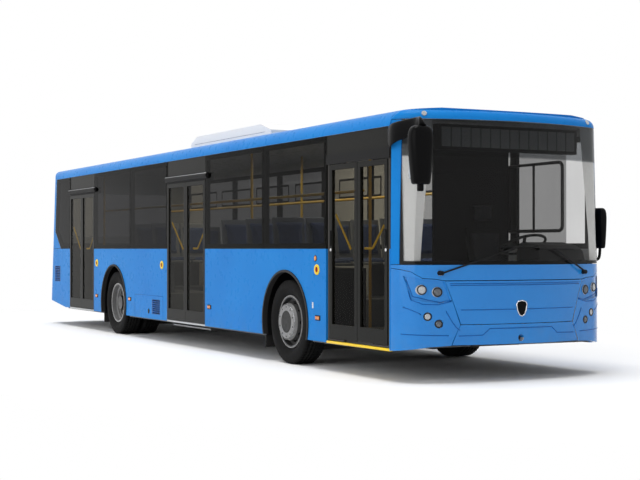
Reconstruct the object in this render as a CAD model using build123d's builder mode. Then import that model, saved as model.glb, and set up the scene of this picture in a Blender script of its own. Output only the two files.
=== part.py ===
from build123d import *
import os
from math import asin, cos, hypot, pi, radians, sin, sqrt

# Twelve-metre low-floor city bus, millimetres.
# +X points forward, +Y to the vehicle's left, +Z up.  The doors are on the right, -Y side.
# The origin is on the ground under the centre of the overall box, mirrors included.

# ---- overall body ----
front_overhang = 2790
wheelbase = 5960
rear_overhang = 3650
half_width = 1250
mirror_reach = 260          # mirrors stand this far ahead of the nose
skirt_z = 310               # bottom of the side panels
belt_z = 1305               # top of the lower panels, bottom of the dark window band
cant_z = 2510               # top of the window band, foot of the curved cant
cant_radius = 160
crown_rise = 40             # roof centre above the top of the cant curve
wall_t = 50
seam = 6                    # open joint between neighbouring panels

# ---- nose and tail in plan ----
nose_bow_radius = 3000
nose_corner_radius = 340
tail_bow_radius = 6000
tail_corner_radius = 250
nose_lean = 0.035           # windscreen leans back, run per unit of rise
tail_lean = 0.1             # tail leans forward, run per unit of rise
tail_foot_z = 400           # height where the tail starts
front_jamb = 18             # strip of wall ahead of the front door
pillar_width = 104
cap_round = 90              # rounding of the front cap's brow
cap_fall = 45               # drop of the cap's top towards the nose

# ---- windscreen and nose panels ----
screen_sill_z = 1155
screen_head_z = 2570
screen_t = 8
nose_panel_t = 40
flap_top_z = 997
flap_foot_z = 565
flap_top_half = 837
flap_foot_half = 679
bumper_corner_z = 508
bumper_corner_half = 709
bumper_foot_half = 764
bumper_foot_z = 370
bumper_t = 60
lamp_recess = 14
lamp_back = 20
lamp_bulge = 10
bezel = 6                   # lamps are this much smaller than their holes, all round
flap_t = 15
lid_t = 25

# ---- wipers and towing socket, both let into the nose ----
wiper_stand = 45            # arms stand this far off the nose
spindle_z = 1070
spindle_hole = 26
wiper_arms = [  # spindle y, tip y, tip z, blade ends y
    (-885, -92, 1323, (-323, 160)),
    (856, 394, 1304, (190, 675)),
]
tow_y = -20
tow_z = 428
tow_bore = 21
tow_depth = 80
tow_access = 34             # radius of the hole through the bumper
tow_behind = 130            # mouth of the socket behind the nose

# ---- wheels and axles ----
tyre_radius = 478.5
tyre_width = 276
bead_radius = 285
track_outer = 1210          # outer sidewall of each outermost tyre
twin_spacing = 315
rim_width = 190             # between the beads
flange_radius = 299
flange_t = 12
rim_gap = 0.5               # rim flange to tyre
rim_skin = 12
well_depth = 34
well_half = 35
arch_gap = 111              # arch edge stands this far outside the tyre
lip_t = 26                  # black arch lip, measured along the radius
lip_proud = 12
hub_radius = 110
disc_radius = 200           # foot of the dished wheel disc
disc_t = 14
front_disc_proud = 22       # front disc's inner face inside the hub's end
rear_disc_deep = 190
hand_holes = 10             # round the front discs
hand_hole_radius = 24
kingpin_y = 950
kingpin_radius = 25
pin_fit = 0.05              # radial running clearance of pins and shafts
eye_radius = 60
eye_half = 60
ear_t = 45
ear_gap = 2
spindle_radius = 40
move_gap = 6                # smallest gap kept between pieces that move apart

# ---- doors: distance from the axle they stand by to the near edge, and width ----
front_door_ahead = 994
front_door_width = 1322
middle_door_behind = 2337
middle_door_width = 1358
rear_door_behind = 970
rear_door_width = 1300
door_head_z = 2305          # top of the door openings
cover_z = 2200              # bottom of the header covers
leaf_t = 40
leaf_recess = 10
leaf_frame = 55
kick_height = 150           # solid foot of each leaf, below its glass
door_glass_deep = 12        # glass of the closed doors, in from their faces
shaft_radius = 18
shaft_inset = 30            # shaft axis to the side of the opening
arm_t = 14
arm_width = 40
glass_t = 6
glass_gap = 2               # glue line between glass and frame

# ---- floor and underframe ----
floor_z = 330
floor_t = 40
rail_depth = 50
rail_width = 60
engine_bulkhead_ahead = 1150

# ---- ramp ----
ramp_t = 18
ramp_length = 850
ramp_z = 250
ramp_inset = 90
ramp_side_gap = 20

# ---- derived places ----
body_length = front_overhang + wheelbase + rear_overhang
nose_x = (body_length - mirror_reach) / 2
tail_x = nose_x - body_length
front_axle_x = nose_x - front_overhang
rear_axle_x = front_axle_x - wheelbase
axle_z = tyre_radius
roof_edge_z = cant_z + cant_radius
roof_z = roof_edge_z + crown_rise
front_door_x = front_axle_x + front_door_ahead
middle_door_x = front_axle_x - middle_door_behind - middle_door_width
rear_door_x = rear_axle_x - rear_door_behind - rear_door_width
pillar_x = front_door_x + front_door_width + front_jamb
doors = [  # name, rear edge x, width
    ("front", front_door_x, front_door_width),
    ("middle", middle_door_x, middle_door_width),
    ("rear", rear_door_x, rear_door_width),
]
arch_radius = tyre_radius + arch_gap
tyre_centre_y = track_outer - tyre_width / 2
sides = [("left", 1), ("right", -1)]
both_sides = (1, -1)

os.makedirs("parts", exist_ok=True)


def save(piece, name):
    """Label a finished piece and write it under its node name."""
    piece.part.label = name
    export_step(piece.part, f"parts/{name}.step")


def block(x, y, z, mode=Mode.ADD):
    """Box between two limits along each axis."""
    centre = (sum(x) / 2, sum(y) / 2, sum(z) / 2)
    with Locations(centre):
        Box(abs(x[1] - x[0]), abs(y[1] - y[0]), abs(z[1] - z[0]), mode=mode)


def side_slab(points, y, mode=Mode.ADD):
    """Polygon drawn in side view (x, z), thick between two y values."""
    with BuildSketch(Plane.XZ.offset(-max(y))) as outline:
        with BuildLine():
            Polyline(*points, close=True)
        make_face()
    extrude(outline.sketch, amount=abs(y[1] - y[0]), mode=mode)


def end_slab(points, x, mode=Mode.ADD):
    """Polygon drawn in end view (y, z), thick between two x values."""
    with BuildSketch(Plane.YZ.offset(min(x))) as outline:
        with BuildLine():
            Polyline(*points, close=True)
        make_face()
    extrude(outline.sketch, amount=abs(x[1] - x[0]), mode=mode)


def rod(start, end, radius, mode=Mode.ADD):
    """Round bar from one point to another."""
    axis = Vector(*end) - Vector(*start)
    with BuildSketch(Plane(origin=start, z_dir=axis)) as section:
        Circle(radius)
    extrude(section.sketch, amount=axis.length, mode=mode)


def bowed_outline(inset, tip_x, far_x, facing, bow, corner):
    """Edges of a bowed end in plan, inset from its outer face, with both sides run to far_x."""
    offset_x = sqrt((bow - corner) ** 2 - (half_width - corner) ** 2) - bow
    turn = asin((half_width - corner) / (bow - corner))
    mid_turn = (turn + radians(90)) / 2
    corner_y = half_width - corner
    small = corner - inset
    side_y = half_width - inset
    start_x = tip_x + facing * offset_x
    mid = (start_x + facing * small * cos(mid_turn), corner_y + small * sin(mid_turn))
    joint = (start_x + facing * small * cos(turn), corner_y + small * sin(turn))
    Line((far_x, -side_y), (start_x, -side_y))
    ThreePointArc((start_x, -side_y), (mid[0], -mid[1]), (joint[0], -joint[1]))
    ThreePointArc((joint[0], -joint[1]), (tip_x - facing * inset, 0), joint)
    ThreePointArc(joint, mid, (start_x, side_y))
    Line((start_x, side_y), (far_x, side_y))
    Line((far_x, side_y), (far_x, -side_y))


def nose_block(inset, z, lean=0.0, far_x=0.0, mode=Mode.ADD):
    """Solid nose between two heights, inset from its outer face, leaning back above the screen sill."""
    rise = z[1] - z[0]
    tip_x = nose_x - lean * (z[0] - screen_sill_z)
    with BuildSketch(Plane.XY.offset(z[0])) as outline:
        with BuildLine():
            bowed_outline(inset, tip_x, far_x, 1, nose_bow_radius, nose_corner_radius)
        make_face()
    extrude(outline.sketch, amount=hypot(lean * rise, rise), dir=(-lean * rise, 0, rise), mode=mode)


def tail_block(inset, z, far_x=0.0, mode=Mode.ADD):
    """Solid tail between two heights, inset from its outer face and leaning forward."""
    rise = z[1] - z[0]
    tip_x = tail_x + tail_lean * (z[0] - tail_foot_z)
    with BuildSketch(Plane.XY.offset(z[0])) as outline:
        with BuildLine():
            bowed_outline(inset, tip_x, far_x, -1, tail_bow_radius, tail_corner_radius)
        make_face()
    run = tail_lean * rise
    extrude(outline.sketch, amount=hypot(run, rise), dir=(run, 0, rise), mode=mode)


def nose_surface(y, inset=0.0):
    """Point and outward direction in plan on the nose, at a given y."""
    turn = asin((half_width - nose_corner_radius) / (nose_bow_radius - nose_corner_radius))
    corner_y = half_width - nose_corner_radius
    corner_x = nose_x - nose_bow_radius + (nose_bow_radius - nose_corner_radius) * cos(turn)
    if abs(y) <= (nose_bow_radius - inset) * sin(turn):
        angle = asin(y / (nose_bow_radius - inset))
        return nose_x - nose_bow_radius + (nose_bow_radius - inset) * cos(angle), angle
    angle = asin((abs(y) - corner_y) / (nose_corner_radius - inset))
    x = corner_x + (nose_corner_radius - inset) * cos(angle)
    return x, angle if y > 0 else -angle


def roof_profile(inset):
    """Closed cross-section of the roof above the cant line, inset from its outer face."""
    edge_y = half_width - cant_radius
    small = cant_radius - inset
    side_y = half_width - inset
    CenterArc((-edge_y, cant_z), small, 180, -90)
    ThreePointArc((-edge_y, cant_z + small), (0, roof_z - inset), (edge_y, cant_z + small))
    CenterArc((edge_y, cant_z), small, 90, -90)
    Line((side_y, cant_z), (-side_y, cant_z))


def roof_block(inset, x, foot_z, mode=Mode.ADD):
    """Solid roof between two x values, from a foot height up to the inset crown."""
    side_y = half_width - inset
    with BuildSketch(Plane.YZ.offset(min(x))) as outline:
        with BuildLine():
            roof_profile(inset)
        make_face()
        if foot_z < cant_z:
            with Locations((0, (foot_z + cant_z) / 2)):
                Rectangle(2 * side_y, cant_z - foot_z)
    extrude(outline.sketch, amount=abs(x[1] - x[0]), mode=mode)


def arch_cutters(side, radius, y_span):
    """Round wheel openings of one side of the body."""
    for axle_x in (front_axle_x, rear_axle_x):
        with Locations((axle_x, side * sum(y_span) / 2, axle_z)):
            Cylinder(radius, abs(y_span[1] - y_span[0]), rotation=(90, 0, 0), mode=Mode.SUBTRACT)


def tail_edge_x(z):
    """Rear end of the side walls: they stop where the tail's corner starts."""
    flat = sqrt((tail_bow_radius - tail_corner_radius) ** 2 - (half_width - tail_corner_radius) ** 2)
    return tail_x + tail_bow_radius - flat + tail_lean * (z - tail_foot_z)


def slats(x, y, z, count):
    """Louvred grille: a frame round the given box with slats across it."""
    block(x, y, z)
    hole_x = (x[0] + grille_frame, x[1] - grille_frame)
    block(hole_x, y, (z[0] + grille_frame, z[1] - grille_frame), Mode.SUBTRACT)
    pitch = (z[1] - z[0] - grille_frame) / count
    for step in range(1, count):
        foot = z[0] + grille_frame / 2 + step * pitch
        block(x, y, (foot - pitch / 4, foot + pitch / 4))


# ---- side walls ----
skirt_rise_behind = 250     # the skirt climbs to the tail from here, behind the rear door
grille_frame = 12
grille_t = 30
grille_deep = 5             # grilles stand back from the panels
vent_z = (740, 1010)
vent_length = 333
vent_margin = 93            # panel left behind the vent, at its top
intake_z = (377, 590)
intake_length = 319
intake_ahead = 1675
radiator_z = (620, 1180)
radiator_length = 660
radiator_margin = 40
vent_x = tail_edge_x(vent_z[1]) + vent_margin
intake_x = rear_axle_x + intake_ahead
radiator_x = tail_edge_x(radiator_z[1]) + radiator_margin
grilles = [  # side, rear x, front x, foot z, top z, slats
    (-1, vent_x, vent_x + vent_length, *vent_z, 9),
    (-1, intake_x, intake_x + intake_length, *intake_z, 7),
    (1, radiator_x, radiator_x + radiator_length, *radiator_z, 15),
]
for side_name, side in sides:
    y_wall = (side * (half_width - wall_t), side * half_width)
    with BuildPart() as lower:
        outline = [
            (tail_edge_x(tail_foot_z), tail_foot_z),
            (rear_door_x - skirt_rise_behind, skirt_z),
            (pillar_x, skirt_z),
            (pillar_x, belt_z),
            (tail_edge_x(belt_z), belt_z),
        ]
        side_slab(outline, y_wall)
        arch_cutters(side, arch_radius, (half_width - 2 * wall_t, half_width + wall_t))
        if side < 0:
            for _, door_x, door_width in doors:
                block((door_x, door_x + door_width), y_wall, (0, belt_z), mode=Mode.SUBTRACT)
        for grille_side, rear_x, ahead_x, foot_z, top_z, _ in grilles:
            if grille_side == side:
                block((rear_x, ahead_x), y_wall, (foot_z, top_z), mode=Mode.SUBTRACT)
    save(lower, f"{side_name}_lower_panels")

with BuildPart() as side_grilles:
    for side, rear_x, ahead_x, foot_z, top_z, count in grilles:
        y_grille = (side * (half_width - grille_deep - grille_t), side * (half_width - grille_deep))
        slats((rear_x, ahead_x), y_grille, (foot_z, top_z), count)
save(side_grilles, "side_grilles")

pane_inset = 60
band_top_gap = 60
front_split_x = front_axle_x - 570
rear_split_x = rear_axle_x + 760
band_end = [  # x, z down the rear end of the window band
    (tail_x + 610, cant_z),
    (tail_x + 523, 1600),
    (tail_x + 855, belt_z),
]
right_panes = [  # rear x, front x
    (front_split_x, front_door_x),
    (middle_door_x + middle_door_width, front_split_x),
    (rear_split_x, middle_door_x),
    (rear_door_x + rear_door_width, rear_split_x),
    (band_end[0][0], rear_door_x),
]
left_panes = [
    (front_door_x, pillar_x),
    (front_split_x, front_door_x),
    (middle_door_x + middle_door_width, front_split_x),
    (middle_door_x, middle_door_x + middle_door_width),
    (rear_split_x, middle_door_x),
    (rear_door_x + rear_door_width, rear_split_x),
    (rear_door_x, rear_door_x + rear_door_width),
    (band_end[0][0], rear_door_x),
]


def pane_outline(rear_x, ahead_x, margin, head_margin):
    """Corners of one side pane (x, z), drawn in by margins; the rearmost follows the band's end."""
    foot_z = belt_z + margin
    head_z = cant_z - head_margin
    rear_edge = [(rear_x + margin, head_z), (rear_x + margin, foot_z)]
    if rear_x == band_end[0][0]:
        rear_edge = [
            (rear_x + margin, head_z),
            (band_end[1][0] + margin, band_end[1][1] + margin / 3),
            (band_end[2][0] + margin / 2, foot_z),
        ]
    return rear_edge + [(ahead_x - margin, foot_z), (ahead_x - margin, head_z)]


for side_name, side in sides:
    y_frame = (side * (half_width - wall_t), side * (half_width - glass_t - glass_gap))
    with BuildPart() as frame:
        side_slab(band_end[::-1] + [(pillar_x, cant_z), (pillar_x, belt_z)], y_frame)
        for rear_x, ahead_x in left_panes if side > 0 else right_panes:
            side_slab(pane_outline(rear_x, ahead_x, pane_inset, band_top_gap), y_frame, Mode.SUBTRACT)
        if side < 0:
            for _, door_x, door_width in doors:
                block((door_x, door_x + door_width), y_frame, (belt_z, door_head_z), mode=Mode.SUBTRACT)
    save(frame, f"{side_name}_window_frame")

with BuildPart() as side_glass:
    for side in both_sides:
        y_glass = (side * (half_width - glass_t), side * half_width)
        for rear_x, ahead_x in left_panes if side > 0 else right_panes:
            side_slab(pane_outline(rear_x, ahead_x, seam / 2, seam), y_glass)
save(side_glass, "side_glass")

# ---- roof ----
roof_span = (tail_x, pillar_x - seam)
with BuildPart() as roof_hollow:
    roof_block(wall_t, (tail_x, pillar_x), cant_z - wall_t)
    tail_block(wall_t, (cant_z - wall_t, roof_z), pillar_x + wall_t, Mode.INTERSECT)

with BuildPart() as roof:
    roof_block(0, roof_span, cant_z)
    tail_block(0, (cant_z - wall_t, roof_z + wall_t), pillar_x + wall_t, Mode.INTERSECT)
    add(roof_hollow.part, mode=Mode.SUBTRACT)
save(roof, "roof_shell")

cap_top_z = roof_z - cap_fall
brow_z = cap_top_z - cap_round
brow_depth = cap_round + 40
cap_wall_t = wall_t - 2     # the cap's front is a little thinner than the roof


def brow_ring(centre, outer, start, sweep):
    """Rounded upper edge of the cap along one arc of the nose, angles in degrees."""
    out = Vector(cos(radians(start)), sin(radians(start)), 0)
    with BuildSketch(Plane(origin=(*centre, 0), x_dir=out, z_dir=out.cross(Vector(0, 0, 1)))) as cut:
        with BuildLine():
            Line((outer - brow_depth, brow_z), (outer, brow_z))
            CenterArc((outer - cap_round, brow_z), cap_round, 0, 90)
            Line((outer - cap_round, cap_top_z), (outer - brow_depth, cap_top_z))
            Line((outer - brow_depth, cap_top_z), (outer - brow_depth, brow_z))
        make_face()
    revolve(cut.sketch, axis=Axis((*centre, 0), (0, 0, 1)), revolution_arc=sweep)


with BuildPart() as cap_hollow:
    roof_block(wall_t, (0, nose_x), cant_z - wall_t)
    nose_block(cap_wall_t, (cant_z, brow_z), nose_lean, -wall_t, Mode.INTERSECT)

cap_lean = nose_lean * (brow_z - screen_sill_z)
roof_lamp_y = 975           # middle of the brow's rounding behind each roof lamp
roof_lamp_r = 26
roof_lamp_tilt = 31         # the lamps look up along the rounding, degrees
roof_lamp_sink = 18
roof_lamp_proud = 7
lens_gap = 0.3


def roof_lamp_point(side, height):
    """Point on a roof lamp's axis, at a height over the brow's rounding."""
    x, angle = nose_surface(side * roof_lamp_y, cap_round)
    reach = (cap_round + height) * cos(radians(roof_lamp_tilt))
    rise = (cap_round + height) * sin(radians(roof_lamp_tilt))
    return x - cap_lean + reach * cos(angle), side * roof_lamp_y + reach * sin(angle), brow_z + rise


bow_turn = asin((half_width - nose_corner_radius) / (nose_bow_radius - nose_corner_radius)) * 180 / pi
corner_y = half_width - nose_corner_radius
corner_x = nose_x - nose_bow_radius + (nose_bow_radius - nose_corner_radius) * cos(radians(bow_turn))
with BuildPart() as cap_shape:
    brow_ring((nose_x - nose_bow_radius - cap_lean, 0), nose_bow_radius, -bow_turn, 2 * bow_turn)
    brow_ring((corner_x - cap_lean, corner_y), nose_corner_radius, bow_turn, 90 - bow_turn)
    brow_ring((corner_x - cap_lean, -corner_y), nose_corner_radius, -90, 90 - bow_turn)
    nose_block(0, (screen_head_z, brow_z), nose_lean)
    nose_block(brow_depth - 1, (brow_z, roof_z + wall_t))
    block((0, corner_x - cap_lean), (-half_width, half_width), (brow_z, roof_z + wall_t))

with BuildPart() as front_cap:
    roof_block(0, (pillar_x, nose_x), cant_z)
    add(cap_shape.part, mode=Mode.INTERSECT)
    cap_side = [(pillar_x, cant_z), (pillar_x, roof_z), (nose_x, cap_top_z), (nose_x, cant_z)]
    side_slab(cap_side, (-half_width, half_width), Mode.INTERSECT)
    add(cap_hollow.part, mode=Mode.SUBTRACT)
    for side in both_sides:
        socket_ends = [roof_lamp_point(side, depth) for depth in (-roof_lamp_sink, 2 * roof_lamp_sink)]
        rod(*socket_ends, roof_lamp_r + lens_gap, Mode.SUBTRACT)
save(front_cap, "front_cap")

with BuildPart() as roof_lamps:
    for side in both_sides:
        lamp_ends = [roof_lamp_point(side, depth) for depth in (-roof_lamp_sink, roof_lamp_proud)]
        rod(*lamp_ends, roof_lamp_r)
save(roof_lamps, "roof_lamps")

# ---- windscreen and front pillars ----
screen_edge_x = pillar_x + pillar_width
screen_z = (screen_sill_z, screen_head_z - seam)
with BuildPart() as windscreen:
    nose_block(0, screen_z, nose_lean)
    nose_block(screen_t, screen_z, nose_lean, -wall_t, Mode.SUBTRACT)
    block((screen_edge_x + seam, nose_x), (-half_width, half_width), screen_z, Mode.INTERSECT)
save(windscreen, "windscreen")

pillar_return = 110         # hidden flange of the pillar behind the glass edge
with BuildPart() as pillar_back_part:
    nose_block(screen_t + 2, screen_z, nose_lean)
    nose_block(wall_t, screen_z, nose_lean, -wall_t, Mode.SUBTRACT)
    block((pillar_x, screen_edge_x + pillar_return), (-half_width, half_width), screen_z, Mode.INTERSECT)

with BuildPart() as front_pillars:
    nose_block(0, screen_z, nose_lean)
    nose_block(wall_t, screen_z, nose_lean, -wall_t, Mode.SUBTRACT)
    block((pillar_x, screen_edge_x), (-half_width, half_width), screen_z, Mode.INTERSECT)
    add(pillar_back_part.part)
save(front_pillars, "front_pillars")

# ---- nose panels ----
cowl_edge = [  # y, z along the cowl panel's lower edge, outer end first
    (half_width, 1119),
    (1144, 1086),
    (1050, 1022),
    (923, 1014),
    (840, 999),
]
cheek_waist = (759, 800)
cheek_edge = [  # y, z down the inner edge of the corner panels
    cheek_waist,
    (679, 565),
    (709, 508),
    (764, 383),
    (766, 366),
]
cheek_foot = [  # y, z along the foot of the corner panels
    (979, 355),
    (1206, 321),
    (half_width, skirt_z),
]
lamp_outline = [  # y, z round each headlamp
    (1192, 1036),
    (1030, 1006),
    (848, 990),
    (781, 805),
    (900, 775),
    (1144, 815),
]
lamps = [  # y, z, radius of the round lamps on each side
    (1052, 908, 50),
    (905, 886, 50),
    (1000, 650, 42),
    (895, 578, 42),
]
nose_span = (pillar_x, nose_x)
waist_ease = 2              # the flap's edge keeps clear of the corner panel's
flap_edge = [
    (flap_top_half, flap_top_z),
    (cheek_waist[0] + waist_ease, cheek_waist[1]),
    (flap_foot_half, flap_foot_z),
]


def both_ways(points):
    """Closed outline from the points of its left half, given from top to foot."""
    return points + [(-y, z) for y, z in reversed(points)]


with BuildPart() as cowl:
    nose_block(0, (flap_top_z, screen_sill_z))
    nose_block(nose_panel_t, (flap_top_z, screen_sill_z), 0, -wall_t, Mode.SUBTRACT)
    cowl_top = screen_sill_z - seam
    end_slab(both_ways([(half_width, cowl_top)] + cowl_edge), nose_span, Mode.INTERSECT)
    for spindle_y, *_ in wiper_arms:
        rod((pillar_x, spindle_y, spindle_z), (nose_x, spindle_y, spindle_z), spindle_hole, Mode.SUBTRACT)
save(cowl, "front_cowl")

with BuildPart() as cheeks:
    nose_block(0, (skirt_z, screen_sill_z))
    nose_block(nose_panel_t, (skirt_z, screen_sill_z), 0, -wall_t, Mode.SUBTRACT)
    with BuildSketch(Plane.YZ.offset(pillar_x)) as cheek_faces:
        for side in both_sides:
            inner = [(y, z - seam) for y, z in cowl_edge] + [(y + seam, z) for y, z in cheek_edge]
            with BuildLine():
                Polyline(*[(side * y, z) for y, z in inner + cheek_foot], close=True)
            make_face()
    extrude(cheek_faces.sketch, amount=nose_x - pillar_x, mode=Mode.INTERSECT)
    for side in both_sides:
        end_slab([(side * y, z) for y, z in lamp_outline], nose_span, Mode.SUBTRACT)
        for lamp_y, lamp_z, lamp_r in lamps[2:]:
            rod((pillar_x, side * lamp_y, lamp_z), (nose_x, side * lamp_y, lamp_z), lamp_r, Mode.SUBTRACT)
save(cheeks, "front_corner_panels")

with BuildPart() as lamp_panels:
    nose_block(lamp_recess, (skirt_z, screen_sill_z))
    nose_block(nose_panel_t, (skirt_z, screen_sill_z), 0, -wall_t, Mode.SUBTRACT)
    with BuildSketch(Plane.YZ.offset(pillar_x)) as panel_faces:
        for side in both_sides:
            with BuildLine():
                Polyline(*[(side * y, z) for y, z in lamp_outline], close=True)
            make_face()
    extrude(panel_faces.sketch, amount=nose_x - pillar_x, mode=Mode.INTERSECT)
    for side in both_sides:
        for lamp_y, lamp_z, lamp_r in lamps[:2]:
            rod((pillar_x, side * lamp_y, lamp_z), (nose_x, side * lamp_y, lamp_z), lamp_r, Mode.SUBTRACT)
save(lamp_panels, "headlamp_panels")

with BuildPart() as headlamps:
    nose_block(lamp_recess, (skirt_z, screen_sill_z))
    nose_block(nose_panel_t, (skirt_z, screen_sill_z), 0, -wall_t, Mode.SUBTRACT)
    with BuildSketch(Plane.YZ.offset(pillar_x)) as lamp_faces:
        for side in both_sides:
            for lamp_y, lamp_z, lamp_r in lamps:
                with Locations((side * lamp_y, lamp_z)):
                    Circle(lamp_r)
    extrude(lamp_faces.sketch, amount=nose_x - pillar_x, mode=Mode.INTERSECT)
    for side in both_sides:
        for lamp_y, lamp_z, lamp_r in lamps:
            x, angle = nose_surface(side * lamp_y, lamp_recess)
            out = (cos(angle), sin(angle))
            near = (x - lamp_back * out[0], side * lamp_y - lamp_back * out[1], lamp_z)
            far = (x + lamp_bulge * out[0], side * lamp_y + lamp_bulge * out[1], lamp_z)
            rod(near, far, lamp_r - bezel)
save(headlamps, "headlamps")

with BuildPart() as flap:
    nose_block(0, (flap_foot_z, flap_top_z))
    nose_block(flap_t, (flap_foot_z, flap_top_z), 0, -wall_t, Mode.SUBTRACT)
    flap_outline = [(y - seam / 2, z) for y, z in flap_edge]
    flap_outline[0] = (flap_outline[0][0], flap_top_z - seam)
    flap_outline[-1] = (flap_outline[-1][0], flap_foot_z + seam)
    end_slab(both_ways(flap_outline), nose_span, Mode.INTERSECT)
save(flap, "front_flap")

with BuildPart() as bumper:
    nose_block(0, (bumper_foot_z, flap_foot_z))
    nose_block(bumper_t, (bumper_foot_z, flap_foot_z), 0, -wall_t, Mode.SUBTRACT)
    bumper_outline = [
        (flap_foot_half, flap_foot_z),
        (bumper_corner_half, bumper_corner_z),
        (bumper_foot_half, bumper_foot_z),
    ]
    end_slab(both_ways(bumper_outline), nose_span, Mode.INTERSECT)
    rod((pillar_x, tow_y, tow_z), (nose_x, tow_y, tow_z), tow_access, Mode.SUBTRACT)
save(bumper, "front_bumper")

# ---- tail ----
tail_top_z = cant_z
bumper_top_z = 640
window_z = (1480, 2330)
window_half = 960
window_lap = 45
lid_z = (700, 1330)
lid_half = 880
tail_lamp_y = 955
tail_lamp_r = 52
tail_lamp_proud = 5
tail_lamp_gap = 1           # lens to its hole, all round
tail_lamps = [780, 915, 1050]  # height of each lamp's middle
tail_span = (tail_x - wall_t, tail_x + half_width)
lamp_span = (tail_x - wall_t, tail_edge_x(tail_lamps[-1]))

with BuildPart() as window_rebate:
    tail_block(-1, (bumper_top_z, tail_top_z))
    tail_block(glass_t + 1, (bumper_top_z, tail_top_z), wall_t, Mode.SUBTRACT)
    rebate_half = window_half + seam
    rebate_z = (window_z[0] - seam, window_z[1] + seam)
    block(tail_span, (-rebate_half, rebate_half), rebate_z, Mode.INTERSECT)

with BuildPart() as rear_wall:
    tail_block(0, (bumper_top_z, tail_top_z))
    tail_block(wall_t, (bumper_top_z, tail_top_z), wall_t, Mode.SUBTRACT)
    tail_root = [
        (tail_edge_x(bumper_top_z), bumper_top_z),
        (tail_edge_x(belt_z + seam), belt_z + seam),
        (band_end[2][0] - 2 * seam, belt_z + seam),
        (band_end[1][0] - seam, band_end[1][1]),
        (band_end[0][0] - seam, tail_top_z),
        (tail_x, tail_top_z),
        (tail_x, bumper_top_z),
    ]
    side_slab(tail_root, (-half_width, half_width), Mode.INTERSECT)
    sight_half = window_half - window_lap
    sight_z = (window_z[0] + window_lap, window_z[1] - window_lap)
    block(tail_span, (-sight_half, sight_half), sight_z, Mode.SUBTRACT)
    block(tail_span, (-lid_half, lid_half), lid_z, Mode.SUBTRACT)
    for side in both_sides:
        for lamp_z in tail_lamps:
            ends = [(x, side * tail_lamp_y, lamp_z) for x in lamp_span]
            rod(ends[0], ends[1], tail_lamp_r, Mode.SUBTRACT)
    add(window_rebate.part, mode=Mode.SUBTRACT)
save(rear_wall, "rear_wall")

with BuildPart() as window_band:
    tail_block(0, (bumper_top_z, tail_top_z))
    tail_block(glass_t, (bumper_top_z, tail_top_z), wall_t, Mode.SUBTRACT)
    block(tail_span, (-window_half, window_half), window_z, Mode.INTERSECT)
save(window_band, "rear_window")

with BuildPart() as tail_lamp_rods:
    for side in both_sides:
        for lamp_z in tail_lamps:
            ends = [(x, side * tail_lamp_y, lamp_z) for x in lamp_span]
            rod(ends[0], ends[1], tail_lamp_r - tail_lamp_gap)

with BuildPart() as rear_lamps:
    tail_block(-tail_lamp_proud, (bumper_top_z, belt_z))
    tail_block(wall_t / 2, (bumper_top_z, belt_z), wall_t, Mode.SUBTRACT)
    add(tail_lamp_rods.part, mode=Mode.INTERSECT)
save(rear_lamps, "tail_lamps")

with BuildPart() as lid:
    tail_block(0, (bumper_top_z, tail_top_z))
    tail_block(lid_t, (bumper_top_z, tail_top_z), wall_t, Mode.SUBTRACT)
    lid_edge = lid_half - seam
    block(tail_span, (-lid_edge, lid_edge), (lid_z[0] + seam, lid_z[1] - seam), Mode.INTERSECT)
save(lid, "engine_lid")

with BuildPart() as rear_bumper:
    tail_block(0, (tail_foot_z, bumper_top_z - seam))
    tail_block(bumper_t, (tail_foot_z, bumper_top_z - seam), wall_t, Mode.SUBTRACT)
    bumper_root = [
        (tail_edge_x(tail_foot_z), tail_foot_z),
        (tail_edge_x(bumper_top_z), bumper_top_z),
        (tail_x, bumper_top_z),
        (tail_x, tail_foot_z),
    ]
    side_slab(bumper_root, (-half_width, half_width), Mode.INTERSECT)
save(rear_bumper, "rear_bumper")

# ---- marker lamps ----
marker_x = [  # along each side
    front_axle_x + 810,
    middle_door_x + middle_door_width + 149,
    rear_axle_x + 744,
    rear_axle_x - 817,
]
marker_z = 560
marker_half = (45, 17)      # along the side, up
marker_proud = 12
with BuildPart() as markers:
    for side in both_sides:
        y_marker = (side * half_width, side * (half_width + marker_proud))
        for x in marker_x:
            block((x - marker_half[0], x + marker_half[0]), y_marker,
                  (marker_z - marker_half[1], marker_z + marker_half[1]))
save(markers, "marker_lamps")

# ---- floor, wheel houses and underframe ----
inner_half = half_width - wall_t
house_inner_y = 530
house_t = 12
house_half = arch_radius + 10
house_top = axle_z + arch_radius + 22
bulkhead_x = tail_x + engine_bulkhead_ahead
shelf_z = 1400
shelf_t = 30
floor_under = floor_z - floor_t
floor_front_x = front_door_x + front_door_width
floor_lift = 28             # the floor's underside climbs by this towards the nose
lift_length = 720
with BuildPart() as floor:
    floor_profile = [
        (bulkhead_x, floor_under),
        (bulkhead_x, floor_z),
        (floor_front_x, floor_z),
        (floor_front_x, floor_under + floor_lift),
        (floor_front_x - lift_length, floor_under),
    ]
    side_slab(floor_profile, (-inner_half, inner_half))
    for axle_x in (front_axle_x, rear_axle_x):
        for side in both_sides:
            block((axle_x - house_half, axle_x + house_half), (side * house_inner_y, side * half_width),
                  (floor_under, floor_z), Mode.SUBTRACT)
    nose_block(wall_t, (floor_under, floor_z), 0, tail_x, Mode.INTERSECT)
    block((bulkhead_x - house_t, bulkhead_x), (-inner_half, inner_half), (floor_under, shelf_z))
    block((tail_edge_x(shelf_z), bulkhead_x), (-inner_half, inner_half), (shelf_z - shelf_t, shelf_z))
save(floor, "floor")

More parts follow.
